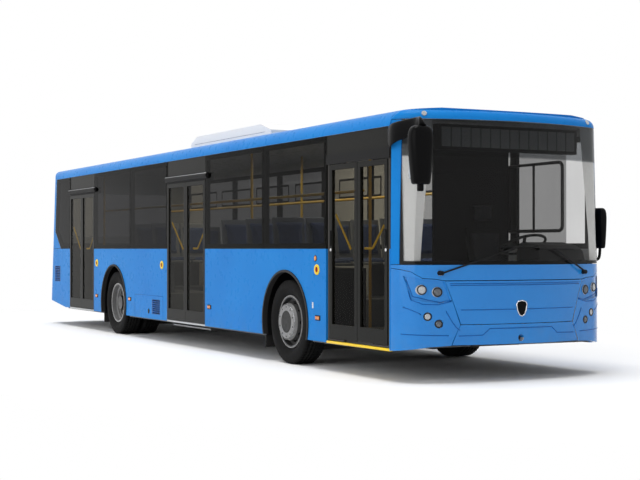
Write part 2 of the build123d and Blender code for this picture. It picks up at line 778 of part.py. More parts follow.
with BuildPart() as houses:
    for axle_x in (front_axle_x, rear_axle_x):
        for side in both_sides:
            outer = (axle_x - house_half, axle_x + house_half)
            inner = (outer[0] + house_t, outer[1] - house_t)
            block(outer, (side * house_inner_y, side * inner_half), (floor_under, house_top))
            block(inner, (side * (house_inner_y + house_t), side * half_width),
                  (0, house_top - house_t), Mode.SUBTRACT)
save(houses, "wheel_houses")

rail_y = 230
rail_top = floor_under
rail_foot = rail_top - rail_depth
rail_front_x = floor_front_x - lift_length
cross_half = 750
cross_members = [  # x of each cross member
    front_door_x - 120,
    front_axle_x - 900,
    middle_door_x + middle_door_width + 150,
    middle_door_x - 150,
    rear_axle_x + 900,
    rear_axle_x - 900,
    rear_door_x + 100,
]
tow_x = nose_x - tow_behind
tow_half = 45
tow_span_z = (tow_z - tow_half, tow_z + tow_half)
plate_t = 20
bearer_z = (400, 460)       # engine bearers
bearer_ahead = 300
with BuildPart() as underframe:
    for side in both_sides:
        y_rail = (side * rail_y, side * (rail_y + rail_width))
        block((bulkhead_x, rail_front_x), y_rail, (rail_foot, rail_top))
        block((tail_x + bearer_ahead, bulkhead_x - house_t), y_rail, bearer_z)
    for member_x in cross_members:
        block((member_x, member_x + rail_width), (-cross_half, cross_half), (rail_foot, rail_top))
    tow_back_x = tow_x - tow_depth - rail_width
    block((tow_back_x, tow_x), (tow_y - tow_half, tow_y + tow_half), tow_span_z)
    beam_half_y = rail_y + rail_width
    block((tow_back_x, tow_back_x + rail_width), (-beam_half_y, beam_half_y), tow_span_z)
    for side in both_sides:
        block((floor_front_x, tow_back_x), (side * rail_y, side * beam_half_y), tow_span_z)
    block((floor_front_x, floor_front_x + plate_t), (-beam_half_y, beam_half_y),
          (floor_under + floor_lift, tow_span_z[1]))
    rod((tow_x - tow_depth, tow_y, tow_z), (tow_x + 1, tow_y, tow_z), tow_bore, Mode.SUBTRACT)
save(underframe, "underframe")

engine_ahead = 330          # engine's rear face ahead of the tail
engine_length = 670
engine_half = 480
engine_height = 850
with BuildPart() as engine:
    engine_x = tail_x + engine_ahead
    block((engine_x, engine_x + engine_length), (-engine_half, engine_half),
          (bearer_z[1], bearer_z[1] + engine_height))
save(engine, "engine_block")

# ---- front axle, knuckles and rear axle ----
beam_half = 50
beam_z = (150, 205)
riser_y = (760, 848)
with BuildPart() as front_axle:
    x = (front_axle_x - beam_half, front_axle_x + beam_half)
    block(x, (-riser_y[1], riser_y[1]), beam_z)
    for side in both_sides:
        block(x, (side * riser_y[0], side * riser_y[1]), (beam_z[0], axle_z + eye_half))
        block(x, (side * riser_y[1], side * kingpin_y), (axle_z - eye_half, axle_z + eye_half))
        with Locations((front_axle_x, side * kingpin_y, axle_z)):
            Cylinder(eye_radius, 2 * eye_half)
            Cylinder(kingpin_radius + pin_fit, 3 * eye_half, mode=Mode.SUBTRACT)
save(front_axle, "front_axle")

web_y = kingpin_y + eye_radius + move_gap
web_depth = 28
hub_proud = 30              # hub ends beyond the tyres
front_cap_depth = 40        # solid end of the front hubs, outside the spindle
rear_cap_depth = 120
bore_gap = 1                # end of each bore beyond its spindle
hub_inner_y = web_y + web_depth + move_gap
hub_outer_y = track_outer + hub_proud
front_stub_y = hub_outer_y - front_cap_depth
rear_stub_y = hub_outer_y - rear_cap_depth
for side_name, side in sides:
    with BuildPart() as knuckle:
        ear_z = eye_half + ear_gap
        for up in (1, -1):
            with Locations((front_axle_x, side * kingpin_y, axle_z + up * (ear_z + ear_t / 2))):
                Cylinder(eye_radius, ear_t)
            block((front_axle_x - eye_radius, front_axle_x + eye_radius), (side * kingpin_y, side * web_y),
                  (axle_z + up * ear_z, axle_z + up * (ear_z + ear_t)))
        web_x = (front_axle_x - eye_radius, front_axle_x + eye_radius)
        web_z = (axle_z - ear_z - ear_t, axle_z + ear_z + ear_t)
        block(web_x, (side * web_y, side * (hub_inner_y - move_gap)), web_z)
        with Locations((front_axle_x, side * kingpin_y, axle_z)):
            Cylinder(kingpin_radius, 2 * ear_z)
        spindle_y = (side * web_y, side * front_stub_y)
        rod((front_axle_x, spindle_y[0], axle_z), (front_axle_x, spindle_y[1], axle_z), spindle_radius)
    save(knuckle, f"front_{side_name}_knuckle")

diff_half = 170
diff_reach = 190            # differential case, fore and aft of the axle
diff_z = (130, floor_under - 10)
tube_half = 80
tube_z = (135, 200)
portal_y = (545, 605)
portal_half = 110
with BuildPart() as rear_axle:
    block((rear_axle_x - tube_half, rear_axle_x + tube_half), (-portal_y[1], portal_y[1]), tube_z)
    block((rear_axle_x - diff_reach, rear_axle_x + diff_reach), (-diff_half, diff_half), diff_z)
    for side in both_sides:
        y_portal = (side * portal_y[0], side * portal_y[1])
        portal_x = (rear_axle_x - portal_half, rear_axle_x + portal_half)
        block(portal_x, y_portal, (tube_z[0], axle_z + portal_half))
        stub = ((rear_axle_x, y_portal[0], axle_z), (rear_axle_x, side * rear_stub_y, axle_z))
        rod(*stub, spindle_radius)
save(rear_axle, "rear_axle")

# ---- wheels ----


def tyre_section(centre_y):
    """Half-section of a tyre (y, distance from the spin axis): a plain ring round the rim."""
    half = tyre_width / 2
    bore = flange_radius + rim_gap
    Polyline(
        (centre_y - half, bore),
        (centre_y + half, bore),
        (centre_y + half, tyre_radius),
        (centre_y - half, tyre_radius),
        close=True,
    )


def spin_plane(axle_x):
    """Plane through the spin axis: local x is +Y, local y is height above the axle."""
    return Plane(origin=(axle_x, 0, axle_z), x_dir=(0, 1, 0), z_dir=(1, 0, 0))


def spin_axis(axle_x):
    """Spin axis of an axle's wheels."""
    return Axis((axle_x, 0, axle_z), (0, 1, 0))


def rim_section(centre_y):
    """Half-section of a rim (y, distance from the spin axis): well, seats and flanges."""
    seat = rim_width / 2
    under = bead_radius - rim_skin
    well = bead_radius - well_depth
    well_foot = well_half - rim_skin
    right_half = [
        (well_foot, well),
        (well_half, bead_radius),
        (seat, bead_radius),
        (seat, flange_radius),
        (seat + flange_t, flange_radius),
        (seat + flange_t, under),
        (well_half + rim_skin / 2, under),
        (well_foot + rim_skin / 2, well - rim_skin),
    ]
    left_half = [(-y, r) for y, r in reversed(right_half)]
    Polyline(*[(centre_y + y, r) for y, r in right_half + left_half], close=True)


def wheel_disc(centre_y, face_y, bore):
    """Dished disc from the rim's well to a flat face, with a bore in the middle."""
    well_radius = bead_radius - well_depth - rim_skin
    Polyline(
        (centre_y - rim_skin, well_radius + rim_skin / 2),
        (centre_y + rim_skin, well_radius + rim_skin / 2),
        (face_y + disc_t, disc_radius),
        (face_y + disc_t, bore),
        (face_y, bore),
        (face_y, disc_radius - rim_skin),
        close=True,
    )


twin_y = tyre_centre_y - twin_spacing
front_disc_y = hub_outer_y - front_disc_proud
rear_disc_y = hub_outer_y - rear_disc_deep
hole_y = (tyre_centre_y + front_disc_y) / 2
hole_margin = 40            # the hand holes' cutters end inside the rim's flange
hole_reach = flange_radius - hole_margin
rear_hub_gap = 40           # rear hubs stand this far off the portals
rear_hub_sunk = 95          # and end this far inside the front ones
disc_gap = 2
rear_hub_inner_y = portal_y[1] + rear_hub_gap
rear_hub_outer_y = hub_outer_y - rear_hub_sunk
twin_disc_y = rear_disc_y - disc_t - disc_gap
wheels = [  # axle, its x, rim centres, (disc centre, face, bore), hub ends, end of the spindle's bore
    ("front", front_axle_x, [tyre_centre_y], [(tyre_centre_y, front_disc_y, 0)],
     (hub_inner_y, front_disc_y + disc_t), front_stub_y + bore_gap),
    ("rear", rear_axle_x, [tyre_centre_y, twin_y],
     [(tyre_centre_y, rear_disc_y, 0), (twin_y, twin_disc_y, hub_radius - rim_skin)],
     (rear_hub_inner_y, rear_hub_outer_y), rear_stub_y + bore_gap),
]
for side_name, side in sides:
    for axle_name, axle_x, centres, discs, hub_y, bore_end in wheels:
        with BuildPart() as tyre:
            for centre_y in centres:
                with BuildSketch(spin_plane(axle_x)):
                    with BuildLine():
                        tyre_section(centre_y)
                    make_face()
                revolve(axis=spin_axis(axle_x))
            if side < 0:
                mirror(about=Plane.XZ, mode=Mode.REPLACE)
        save(tyre, f"{axle_name}_{side_name}_tyre")

        with BuildPart() as rim:
            for centre_y in centres:
                with BuildSketch(spin_plane(axle_x)):
                    with BuildLine():
                        rim_section(centre_y)
                    make_face()
                revolve(axis=spin_axis(axle_x))
            for disc in discs:
                with BuildSketch(spin_plane(axle_x)):
                    with BuildLine():
                        wheel_disc(*disc)
                    make_face()
                revolve(axis=spin_axis(axle_x))
            if axle_name == "front":
                for k in range(hand_holes):
                    angle = 2 * pi * k / hand_holes
                    reach = (hole_reach * cos(angle), hole_reach * sin(angle))
                    rod((axle_x, hole_y, axle_z), (axle_x + reach[0], hole_y, axle_z + reach[1]),
                        hand_hole_radius, Mode.SUBTRACT)
            rod((axle_x, hub_y[0], axle_z), (axle_x, hub_y[1], axle_z), hub_radius)
            bore_start = (axle_x, hub_y[0] - 1, axle_z)
            rod(bore_start, (axle_x, bore_end, axle_z), spindle_radius + pin_fit, Mode.SUBTRACT)
            if side < 0:
                mirror(about=Plane.XZ, mode=Mode.REPLACE)
        save(rim, f"{axle_name}_{side_name}_rim")

# ---- arch lips and mud flaps ----
mud_flap_width = 250
mud_flap_t = 10
mud_flap_foot = 150
mud_flap_gap = 5            # to the side wall
lip_lap = 1                 # the lips lie this far inside the arch edge
with BuildPart() as lips:
    for side in both_sides:
        y_lip = (side * (half_width - wall_t), side * (half_width + lip_proud))
        for axle_x in (front_axle_x, rear_axle_x):
            with Locations((axle_x, sum(y_lip) / 2, axle_z)):
                Cylinder(arch_radius - lip_lap, abs(y_lip[1] - y_lip[0]), rotation=(90, 0, 0))
                Cylinder(arch_radius - lip_t, 4 * wall_t, rotation=(90, 0, 0), mode=Mode.SUBTRACT)
            below_x = (axle_x - 2 * arch_radius, axle_x + 2 * arch_radius)
            block(below_x, y_lip, (-skirt_z, skirt_z), Mode.SUBTRACT)
            flap_x = axle_x - house_half - house_t
            y_flap = (side * (inner_half - mud_flap_width), side * (inner_half - mud_flap_gap))
            block((flap_x - mud_flap_t, flap_x), y_flap, (mud_flap_foot, floor_under))
save(lips, "arch_lips")

# ---- front door leaves on swinging shafts ----
leaf_mid_y = -(half_width - leaf_recess - leaf_t / 2)
leaf_lift = 28              # leaves clear the floor's edge
leaf_head_gap = 5
leaf_z = (floor_z + leaf_lift, cover_z - leaf_head_gap)
leaf_gap = 10
shaft_clear = shaft_radius + leaf_gap
leaf_reach = front_door_width / 2 - shaft_inset - leaf_gap / 2
arm_length = (shaft_clear + leaf_reach) / 2
pin_radius = 9
arm_feet = (leaf_z[0] - move_gap - arm_t, leaf_z[1] + move_gap)
shaft_foot_gap = 2
shaft_rise = 70             # shafts run up into the header
shaft_z = (floor_z + shaft_foot_gap, cover_z + shaft_rise)
front_leaves = [  # name, shaft x, direction from the shaft to the leaf's free edge
    ("front", front_door_x + front_door_width - shaft_inset, -1),
    ("rear", front_door_x + shaft_inset, 1),
]
for leaf_name, shaft_x, toward in front_leaves:
    pivot_x = shaft_x + toward * arm_length
    with BuildPart() as shaft:
        rod((shaft_x, leaf_mid_y, shaft_z[0]), (shaft_x, leaf_mid_y, shaft_z[1]), shaft_radius)
        for foot_z in arm_feet:
            with BuildSketch(Plane.XY.offset(foot_z)) as arm:
                with Locations(((shaft_x + pivot_x) / 2, leaf_mid_y)):
                    SlotCenterToCenter(arm_length, arm_width)
                with Locations((pivot_x, leaf_mid_y)):
                    Circle(pin_radius + pin_fit, mode=Mode.SUBTRACT)
            extrude(arm.sketch, amount=arm_t)
    save(shaft, f"door_shaft_{leaf_name}")

    leaf_x = (shaft_x + toward * shaft_clear, shaft_x + toward * leaf_reach)
    leaf_y = (leaf_mid_y - leaf_t / 2, leaf_mid_y + leaf_t / 2)
    glass_x = (leaf_x[0] + toward * leaf_frame, leaf_x[1] - toward * leaf_frame)
    glass_z = (leaf_z[0] + kick_height, leaf_z[1] - leaf_frame)
    with BuildPart() as leaf:
        block(leaf_x, leaf_y, leaf_z)
        block(glass_x, (leaf_y[0] - 1, leaf_y[1] + 1), glass_z, Mode.SUBTRACT)
        for foot_z, end_z in ((arm_feet[0] + 1, leaf_z[0]), (leaf_z[1], arm_feet[1] + arm_t - 1)):
            rod((pivot_x, leaf_mid_y, foot_z), (pivot_x, leaf_mid_y, end_z), pin_radius)
    save(leaf, f"front_door_leaf_{leaf_name}")

    with BuildPart() as pane:
        block(glass_x, (leaf_mid_y - glass_t / 2, leaf_mid_y + glass_t / 2), glass_z)
    save(pane, f"front_door_glass_{leaf_name}")

# ---- middle and rear doors, closed ----
plug_z = (floor_z + leaf_head_gap, cover_z - leaf_head_gap)
plug_glass_z = (plug_z[0] + kick_height, plug_z[1] - leaf_frame)
plug_spans = []             # x ends of each closed leaf
for _, door_x, door_width in doors[1:]:
    mid_x = door_x + door_width / 2
    plug_spans += [(door_x + seam, mid_x - seam / 2), (mid_x + seam / 2, door_x + door_width - seam)]
with BuildPart() as plug_leaves:
    for near_x, far_x in plug_spans:
        block((near_x, far_x), (-half_width, -half_width + leaf_t), plug_z)
        block((near_x + leaf_frame, far_x - leaf_frame), (-half_width - 1, -half_width + leaf_t + 1),
              plug_glass_z, Mode.SUBTRACT)
save(plug_leaves, "plug_door_leaves")

with BuildPart() as plug_glass:
    glass_y = -half_width + door_glass_deep
    for near_x, far_x in plug_spans:
        block((near_x + leaf_frame, far_x - leaf_frame), (glass_y, glass_y + glass_t), plug_glass_z)
save(plug_glass, "plug_door_glass")

cover_proud = 40
cover_reach = 110           # the covers run on ahead of their doors
header_depth = 120
header_skin = 5
header_gap = 1              # headers stand clear of the opening's edges
with BuildPart() as headers:
    for door_name, door_x, door_width in doors:
        header_x = (door_x + header_gap, door_x + door_width - header_gap)
        header_top = door_head_z - header_gap
        if door_name == "front":
            block(header_x, (-half_width, -half_width + header_skin), (cover_z, header_top))
            header_y = (-half_width + header_skin, -half_width + header_depth)
            block(header_x, header_y, (leaf_z[1] + move_gap + arm_t + move_gap, header_top))
            for _, shaft_x, _ in front_leaves:
                rod((shaft_x, leaf_mid_y, cover_z), (shaft_x, leaf_mid_y, shaft_z[1] + 1),
                    shaft_radius + pin_fit, Mode.SUBTRACT)
        else:
            cover_mid = (cover_z + door_head_z) / 2
            cover_x = (door_x, door_x + door_width + cover_reach)
            rod((cover_x[0], -half_width, cover_mid), (cover_x[1], -half_width, cover_mid), cover_proud)
            inside_y = (-half_width, -half_width + 2 * cover_proud)
            block(cover_x, inside_y, (cover_z, door_head_z), Mode.SUBTRACT)
            block(header_x, (-half_width, -half_width + header_depth), (cover_z, header_top))
save(headers, "door_headers")

# ---- ramp under the middle door ----
guide_t = 4
guide_lap = 14
ramp_y = (-half_width + ramp_inset, -half_width + ramp_inset + ramp_length)
ramp_x = (middle_door_x + ramp_side_gap, middle_door_x + middle_door_width - ramp_side_gap)
with BuildPart() as ramp:
    block(ramp_x, ramp_y, (ramp_z, ramp_z + ramp_t))
save(ramp, "ramp")

with BuildPart() as guides:
    guide_foot = ramp_z - move_gap - guide_t
    for edge_x, out in ((ramp_x[0], -1), (ramp_x[1], 1)):
        web_x = edge_x + out * move_gap
        block((web_x, web_x + out * guide_t), ramp_y, (guide_foot, floor_under))
        block((web_x, web_x - out * guide_lap), ramp_y, (guide_foot, guide_foot + guide_t))
save(guides, "ramp_guides")

# ---- cab ----
cab_y = 710                 # the driver's centre line
wheel_ahead = 1850          # steering wheel's middle ahead of the front axle
wheel_z = 1350
wheel_tilt = 25
grip_radius = 15
steer_radius = 240
hub_boss = 45
hub_boss_t = 30
spoke_width = 34
spoke_t = 10
with BuildPart() as steering_wheel:
    with Locations(Location((front_axle_x + wheel_ahead, cab_y, wheel_z), (0, -wheel_tilt, 0))):
        Torus(steer_radius, grip_radius)
        Cylinder(hub_boss, hub_boss_t)
        for turn in (90, 210, 330):
            with Locations(Location((0, 0, 0), (0, 0, turn))):
                with Locations((steer_radius / 2, 0, 0)):
                    Box(steer_radius, spoke_width, spoke_t)
save(steering_wheel, "steering_wheel")

dash_inset = 60             # from the nose's outer face
dash_y = (-560, 1000)
dash_ahead = 2020
dash_knee = (60, 570)       # foot of its rear lip: forward of the lip, above the floor
dash_lip = 670              # height of the lip
dash_rake = 80              # face of the dashboard leans forward
dash_fall = 40              # its top falls to the nose
dash_x = front_axle_x + dash_ahead
dash_top = floor_z + 850
dash_step = 170             # the dashboard's front passes over the frame's front plate
with BuildPart() as dashboard:
    dash_profile = [
        (dash_x + dash_knee[0], floor_z),
        (dash_x + dash_knee[0], floor_z + dash_knee[1]),
        (dash_x, floor_z + dash_lip),
        (dash_x + dash_rake, dash_top),
        (nose_x, dash_top - dash_fall),
        (nose_x, floor_z + dash_step),
        (floor_front_x - move_gap, floor_z + dash_step),
        (floor_front_x - move_gap, floor_z),
    ]
    side_slab(dash_profile, dash_y)
    nose_block(dash_inset, (floor_z, dash_top), 0, 0, Mode.INTERSECT)
save(dashboard, "dashboard")

partition_ahead = 900
partition_t = 30
partition_y = (150, 1180)
partition_top = floor_z + 1820
cab_door_length = 870
cab_door_top = floor_z + 820
with BuildPart() as partition:
    partition_x = front_axle_x + partition_ahead
    wall_x = (partition_x, partition_x + partition_t)
    block(wall_x, partition_y, (floor_z, partition_top))
    cab_door_y = (partition_y[0], partition_y[0] + partition_t)
    block((wall_x[1], wall_x[1] + cab_door_length), cab_door_y, (floor_z, cab_door_top))
save(partition, "cab_partition")

sign_behind = 215
sign_depth = 95
sign_half = 850
sign_drop = 40              # below the windscreen's head
sign_height = 250
sign_z = (screen_head_z - sign_drop - sign_height, screen_head_z - sign_drop)
with BuildPart() as sign:
    sign_x = (nose_x - sign_behind - sign_depth, nose_x - sign_behind)
    block(sign_x, (-sign_half, sign_half), sign_z)
save(sign, "destination_sign")

# ---- seats and handrails ----
pair_width = 880
seat_depth = 430
seat_top = 480              # cushion above the seat's base
seat_t = 50
seat_tip = 10               # the cushion tips back
back_top = 1000
back_rake = 90
wall_gap = 30
pedestal = (100, 200)       # from the back's foot
pedestal_width = 270
passenger_step = 350        # raised floor under the seats
step_z = floor_z + passenger_step
front_row = 450             # back of the first seats behind the front axle
row_pitch = 750
middle_row = 800            # behind the middle door
rear_row = 720              # ahead of the rear axle
last_row = 1400             # behind the rear axle
seat_rows = [  # x of the back's foot, side, height of what its leg stands on
    (front_axle_x - front_row - row * row_pitch, side, step_z if row else house_top)
    for side in both_sides
    for row in range(3)
]
seat_rows += [(middle_door_x - middle_row, side, step_z) for side in both_sides]
seat_rows += [(rear_axle_x + rear_row, side, step_z) for side in both_sides]
seat_rows.append((rear_axle_x - last_row, 1, step_z))
driver_x = front_axle_x + 1150
driver_half = 230
driver_raise = 70           # driver's seat above a passenger's
driver_back = 1150
pedestal_top = seat_top - seat_t - seat_tip / 2


def seat_side(x, base_z, back_height):
    """Side view (x, z) of a seat: cushion and raked back in one bent slab."""
    top = base_z + seat_top
    return [
        (x, top - seat_t - seat_tip),
        (x + seat_depth, top - seat_t + seat_tip),
        (x + seat_depth, top),
        (x + seat_t, top - seat_tip),
        (x - back_rake + seat_t, base_z + back_height),
        (x - back_rake, base_z + back_height),
    ]


with BuildPart() as seats:
    for row_x, side, foot_z in seat_rows:
        wall_side = inner_half - wall_gap
        row_y = (side * wall_side, side * (wall_side - pair_width))
        side_slab(seat_side(row_x, step_z, back_top), row_y)
        foot_x = (row_x + pedestal[0], row_x + pedestal[1])
        foot_y = (side * wall_side, side * (wall_side - pedestal_width))
        block(foot_x, foot_y, (foot_z, step_z + pedestal_top))
        if foot_z == step_z:
            block((row_x - back_rake, row_x + seat_depth), row_y, (floor_z, step_z))
    driver_base = floor_z + driver_raise
    driver_y = (cab_y - driver_half, cab_y + driver_half)
    side_slab(seat_side(driver_x, driver_base, driver_back), driver_y)
    foot_x = (driver_x + pedestal[0], driver_x + seat_depth - pedestal[0])
    foot_y = (cab_y - driver_half / 2, cab_y + driver_half / 2)
    block(foot_x, foot_y, (floor_z, driver_base + pedestal_top))
save(seats, "seats")

pole_radius = 17
pole_y = (-620, 500)
pole_top = cant_z + 90
rail_z = 1950
rail_stop = 300             # the long rails end behind the front door
front_pole = 150            # behind the front door
pole_stand = 80             # poles beside the other doors
poles = [  # x, y of the upright handrails
    (front_door_x - front_pole, pole_y[0]),
    (middle_door_x + middle_door_width + pole_stand, pole_y[0]),
    (middle_door_x - pole_stand, pole_y[0]),
    (middle_door_x + middle_door_width / 2, pole_y[1]),
    (rear_door_x + rear_door_width + pole_stand, pole_y[0]),
    (rear_door_x - pole_stand, pole_y[0]),
]
with BuildPart() as handrails:
    for pole_x, y in poles:
        rod((pole_x, y, floor_z), (pole_x, y, pole_top), pole_radius)
    for y in pole_y:
        rod((rear_door_x, y, rail_z), (front_door_x - rail_stop, y, rail_z), pole_radius)
save(handrails, "handrails")

# ---- roof units ----
ac_half = 750
ac_rise = 175               # unit's top above the roof's centre
ac_shoulder = 90
ac_behind = 4060            # unit's rear end behind the front axle
ac_length = 2680
ac_rear_slope = 230
ac_front_slope = 320
ac_lean = 20                # its ends lean in this much below the shoulders
unit_sink = 60
unit_gap = 0.5              # units stand this far off the roof's skin
hatch_half = 350
hatch_rise = 60
rear_hatch = 1200           # behind the rear axle
front_hatch = 900           # ahead of the front axle
hatches = [rear_axle_x - rear_hatch, front_axle_x + front_hatch]
with BuildPart() as roof_units:
    ac_rear_x = front_axle_x - ac_behind
    ac_front_x = ac_rear_x + ac_length
    ac_top_z = roof_z + ac_rise
    ac_profile = [
        (ac_rear_x, roof_z - unit_sink),
        (ac_rear_x + ac_lean, ac_top_z - ac_shoulder),
        (ac_rear_x + ac_rear_slope, ac_top_z),
        (ac_front_x - ac_front_slope, ac_top_z),
        (ac_front_x - ac_lean, ac_top_z - ac_shoulder),
        (ac_front_x, roof_z - unit_sink),
    ]
    side_slab(ac_profile, (-ac_half, ac_half))
    for hatch_x in hatches:
        block((hatch_x - hatch_half, hatch_x + hatch_half), (-hatch_half, hatch_half),
              (roof_z - unit_sink, roof_z + hatch_rise))
    roof_block(-unit_gap, (tail_x, pillar_x), cant_z, Mode.SUBTRACT)
save(roof_units, "roof_units")

# ---- mirrors and wipers ----
right_mirror_side = 150     # mirrors' outer faces beyond the body's sides
left_mirror_side = 120
mirror_width = 250
mirror_depth = 160
mirror_edge = 35            # rounding of the housings
right_mirror_z = (1910, 2460)
left_mirror_z = (1310, 1740)
left_mirror_width = 100
left_mirror_depth = 180
right_mirror_ahead = 60     # of the nose
left_mirror_behind = 60     # of the pillar's rear edge
mirror_gap = 0.3            # brackets to the nose's skin
hanger_radius = 30
hanger_root = 20            # ahead of the pillar's rear edge
hanger_drop = 190           # root below the screen's head
clamp_half = 40
bracket_radius = 18
bracket_drop = 130          # left bracket's foot below its mirror
bracket_x = (120, 100)      # its foot and head, ahead of the mirror's rear face
root_sink = 10
with BuildPart() as mirrors:
    right_out = half_width + right_mirror_side
    right_x = nose_x + right_mirror_ahead
    block((right_x, right_x + mirror_depth), (-right_out, -right_out + mirror_width), right_mirror_z)
    left_out = half_width + left_mirror_side
    left_x = pillar_x - left_mirror_behind
    block((left_x, left_x + left_mirror_depth), (left_out - left_mirror_width, left_out), left_mirror_z)
    fillet(mirrors.edges().filter_by(Axis.Z), mirror_edge)
    hanger_x = nose_x + mirror_reach
    hanger_y = -right_out + mirror_width / 2
    hanger_z = right_mirror_z[1] + hanger_radius
    rod((pillar_x + hanger_root, root_sink - half_width, screen_head_z - hanger_drop),
        (hanger_x - hanger_radius, hanger_y, hanger_z), hanger_radius)
    block((hanger_x - 3 * hanger_radius, hanger_x), (hanger_y - clamp_half, hanger_y + clamp_half),
          (right_mirror_z[1] - root_sink, hanger_z + hanger_radius))
    rod((left_x + bracket_x[0], half_width - root_sink, left_mirror_z[0] - bracket_drop),
        (left_x + bracket_x[1], left_out - left_mirror_width / 2, left_mirror_z[0] + 2 * root_sink),
        bracket_radius)
    nose_block(-mirror_gap, (screen_sill_z, roof_z), nose_lean, 0, Mode.SUBTRACT)
save(mirrors, "mirrors")

arm_radius = 9
tip_radius = 7
blade_radius = 8
spindle_gap = 4             # spindles to their holes in the cowl
with BuildPart() as wipers:
    for spindle_y, tip_y, tip_z, blade_y in wiper_arms:
        root = (nose_surface(spindle_y)[0] + wiper_stand, spindle_y, spindle_z)
        tip = (nose_surface(tip_y)[0] + wiper_stand, tip_y, tip_z)
        rod((root[0] - wiper_stand - nose_panel_t, spindle_y, spindle_z), root, spindle_hole - spindle_gap)
        rod(root, tip, arm_radius)
        rod(tip, (tip[0] - wiper_stand / 3, tip_y, tip_z), tip_radius)
        blade = [(nose_surface(y)[0] + wiper_stand * 2 / 3, y, tip_z) for y in blade_y]
        rod(blade[0], blade[1], blade_radius)
save(wipers, "wipers")
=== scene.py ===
import math

import bmesh
import bpy
from mathutils import Matrix, Vector
from mathutils.bvhtree import BVHTree


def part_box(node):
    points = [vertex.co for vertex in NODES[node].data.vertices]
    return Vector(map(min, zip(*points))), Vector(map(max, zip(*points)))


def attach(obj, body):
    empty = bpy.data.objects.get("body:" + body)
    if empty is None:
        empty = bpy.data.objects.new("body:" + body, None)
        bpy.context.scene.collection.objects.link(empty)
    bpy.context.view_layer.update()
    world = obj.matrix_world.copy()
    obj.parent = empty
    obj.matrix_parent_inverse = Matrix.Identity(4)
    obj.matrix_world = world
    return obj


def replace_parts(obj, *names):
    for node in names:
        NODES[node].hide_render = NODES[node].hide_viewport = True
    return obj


# Looks of the twelve-metre city bus, in metres.  +X points forward, +Y to the left, +Z up.

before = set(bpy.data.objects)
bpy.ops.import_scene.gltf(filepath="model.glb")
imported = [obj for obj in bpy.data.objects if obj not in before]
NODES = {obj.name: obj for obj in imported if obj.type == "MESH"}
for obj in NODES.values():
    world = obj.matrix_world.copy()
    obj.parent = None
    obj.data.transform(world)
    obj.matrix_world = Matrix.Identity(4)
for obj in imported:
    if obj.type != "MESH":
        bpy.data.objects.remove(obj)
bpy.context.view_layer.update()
BOX = {name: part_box(name) for name in NODES}

# ---- places read from the frame ----
NOSE_X = BOX["windscreen"][1].x
HALF_WIDTH = BOX["left_lower_panels"][1].y
RIGHT_Y = -HALF_WIDTH
SKIRT_Z = BOX["left_lower_panels"][0].z
BELT_Z = BOX["right_window_frame"][0].z
CANT_Z = BOX["right_window_frame"][1].z
ROOF_Z = BOX["roof_shell"][1].z
PILLAR_X = BOX["front_pillars"][0].x
FLOOR_Z = BOX["front_door_leaf_front"][0].z
FRONT_AXLE_X = (BOX["front_left_tyre"][0].x + BOX["front_left_tyre"][1].x) / 2
REAR_AXLE_X = (BOX["rear_left_tyre"][0].x + BOX["rear_left_tyre"][1].x) / 2
AXLE_Z = BOX["front_left_tyre"][1].z / 2
TYRE_RADIUS = AXLE_Z
TYRE_WIDTH = BOX["front_left_tyre"][1].y - BOX["front_left_tyre"][0].y
MIDDLE_DOOR = (FRONT_AXLE_X - 3.695, FRONT_AXLE_X - 2.337)      # rear and front edge
REAR_DOOR = (REAR_AXLE_X - 2.270, REAR_AXLE_X - 0.970)
BOTH_SIDES = (1, -1)
TO_RIGHT = Vector((0, -1, 0))

# ---- camera, at the photograph's viewpoint ----
IMAGE_WIDTH = 640
FOCAL_PIXELS = 1306.8
SENSOR_WIDTH = 36
CAMERA_AT = (16.585, -7.795, 1.307)
VIEW_OFF_AXIS = math.radians(27.737)
VIEW_PITCH = math.radians(0.38)
VIEW_END = 200

# ---- light ----
WHITE = (1, 1, 1, 1)
AMBIENT_LOW = 0.22          # at the horizon
AMBIENT_HIGH = 0.42         # overhead
AMBIENT_RISE = 0.7          # how far up the sky the light reaches its full strength
CABIN_POWER = 40            # W, at which the seats render about as written
CABIN_STRIP = (4.5, 0.5)
CABIN_LIGHTS = [(BOX["floor"][0].x + 2.6, CABIN_POWER / 2), (FRONT_AXLE_X - 1.9, CABIN_POWER)]
SUNS = [  # name, direction, strength, softness
    ("top_light", (0.05, 0.12, -1), 2.05, math.radians(35)),
    ("side_light", (-0.38, 0.92, -0.28), 1.3, math.radians(60)),
]
FLOOR_HALF = 60
FLOOR_FADE = (10.5, 5.5)    # half length and half width at which the floor is plain background
FADE_START = 0.75           # share of that distance

# ---- driver's side window: its opening part, rear and front edge and heights ----
DRIVER_WINDOW = (FRONT_AXLE_X + 0.93, FRONT_AXLE_X + 1.90)
DRIVER_WINDOW_Z = (1.505, 2.255)


def srgb(red, green, blue):
    """Linear colour from 0-255 values."""

    def channel(value):
        value = value / 255
        return value / 12.92 if value <= 0.04045 else ((value + 0.055) / 1.055) ** 2.4

    return (channel(red), channel(green), channel(blue), 1.0)


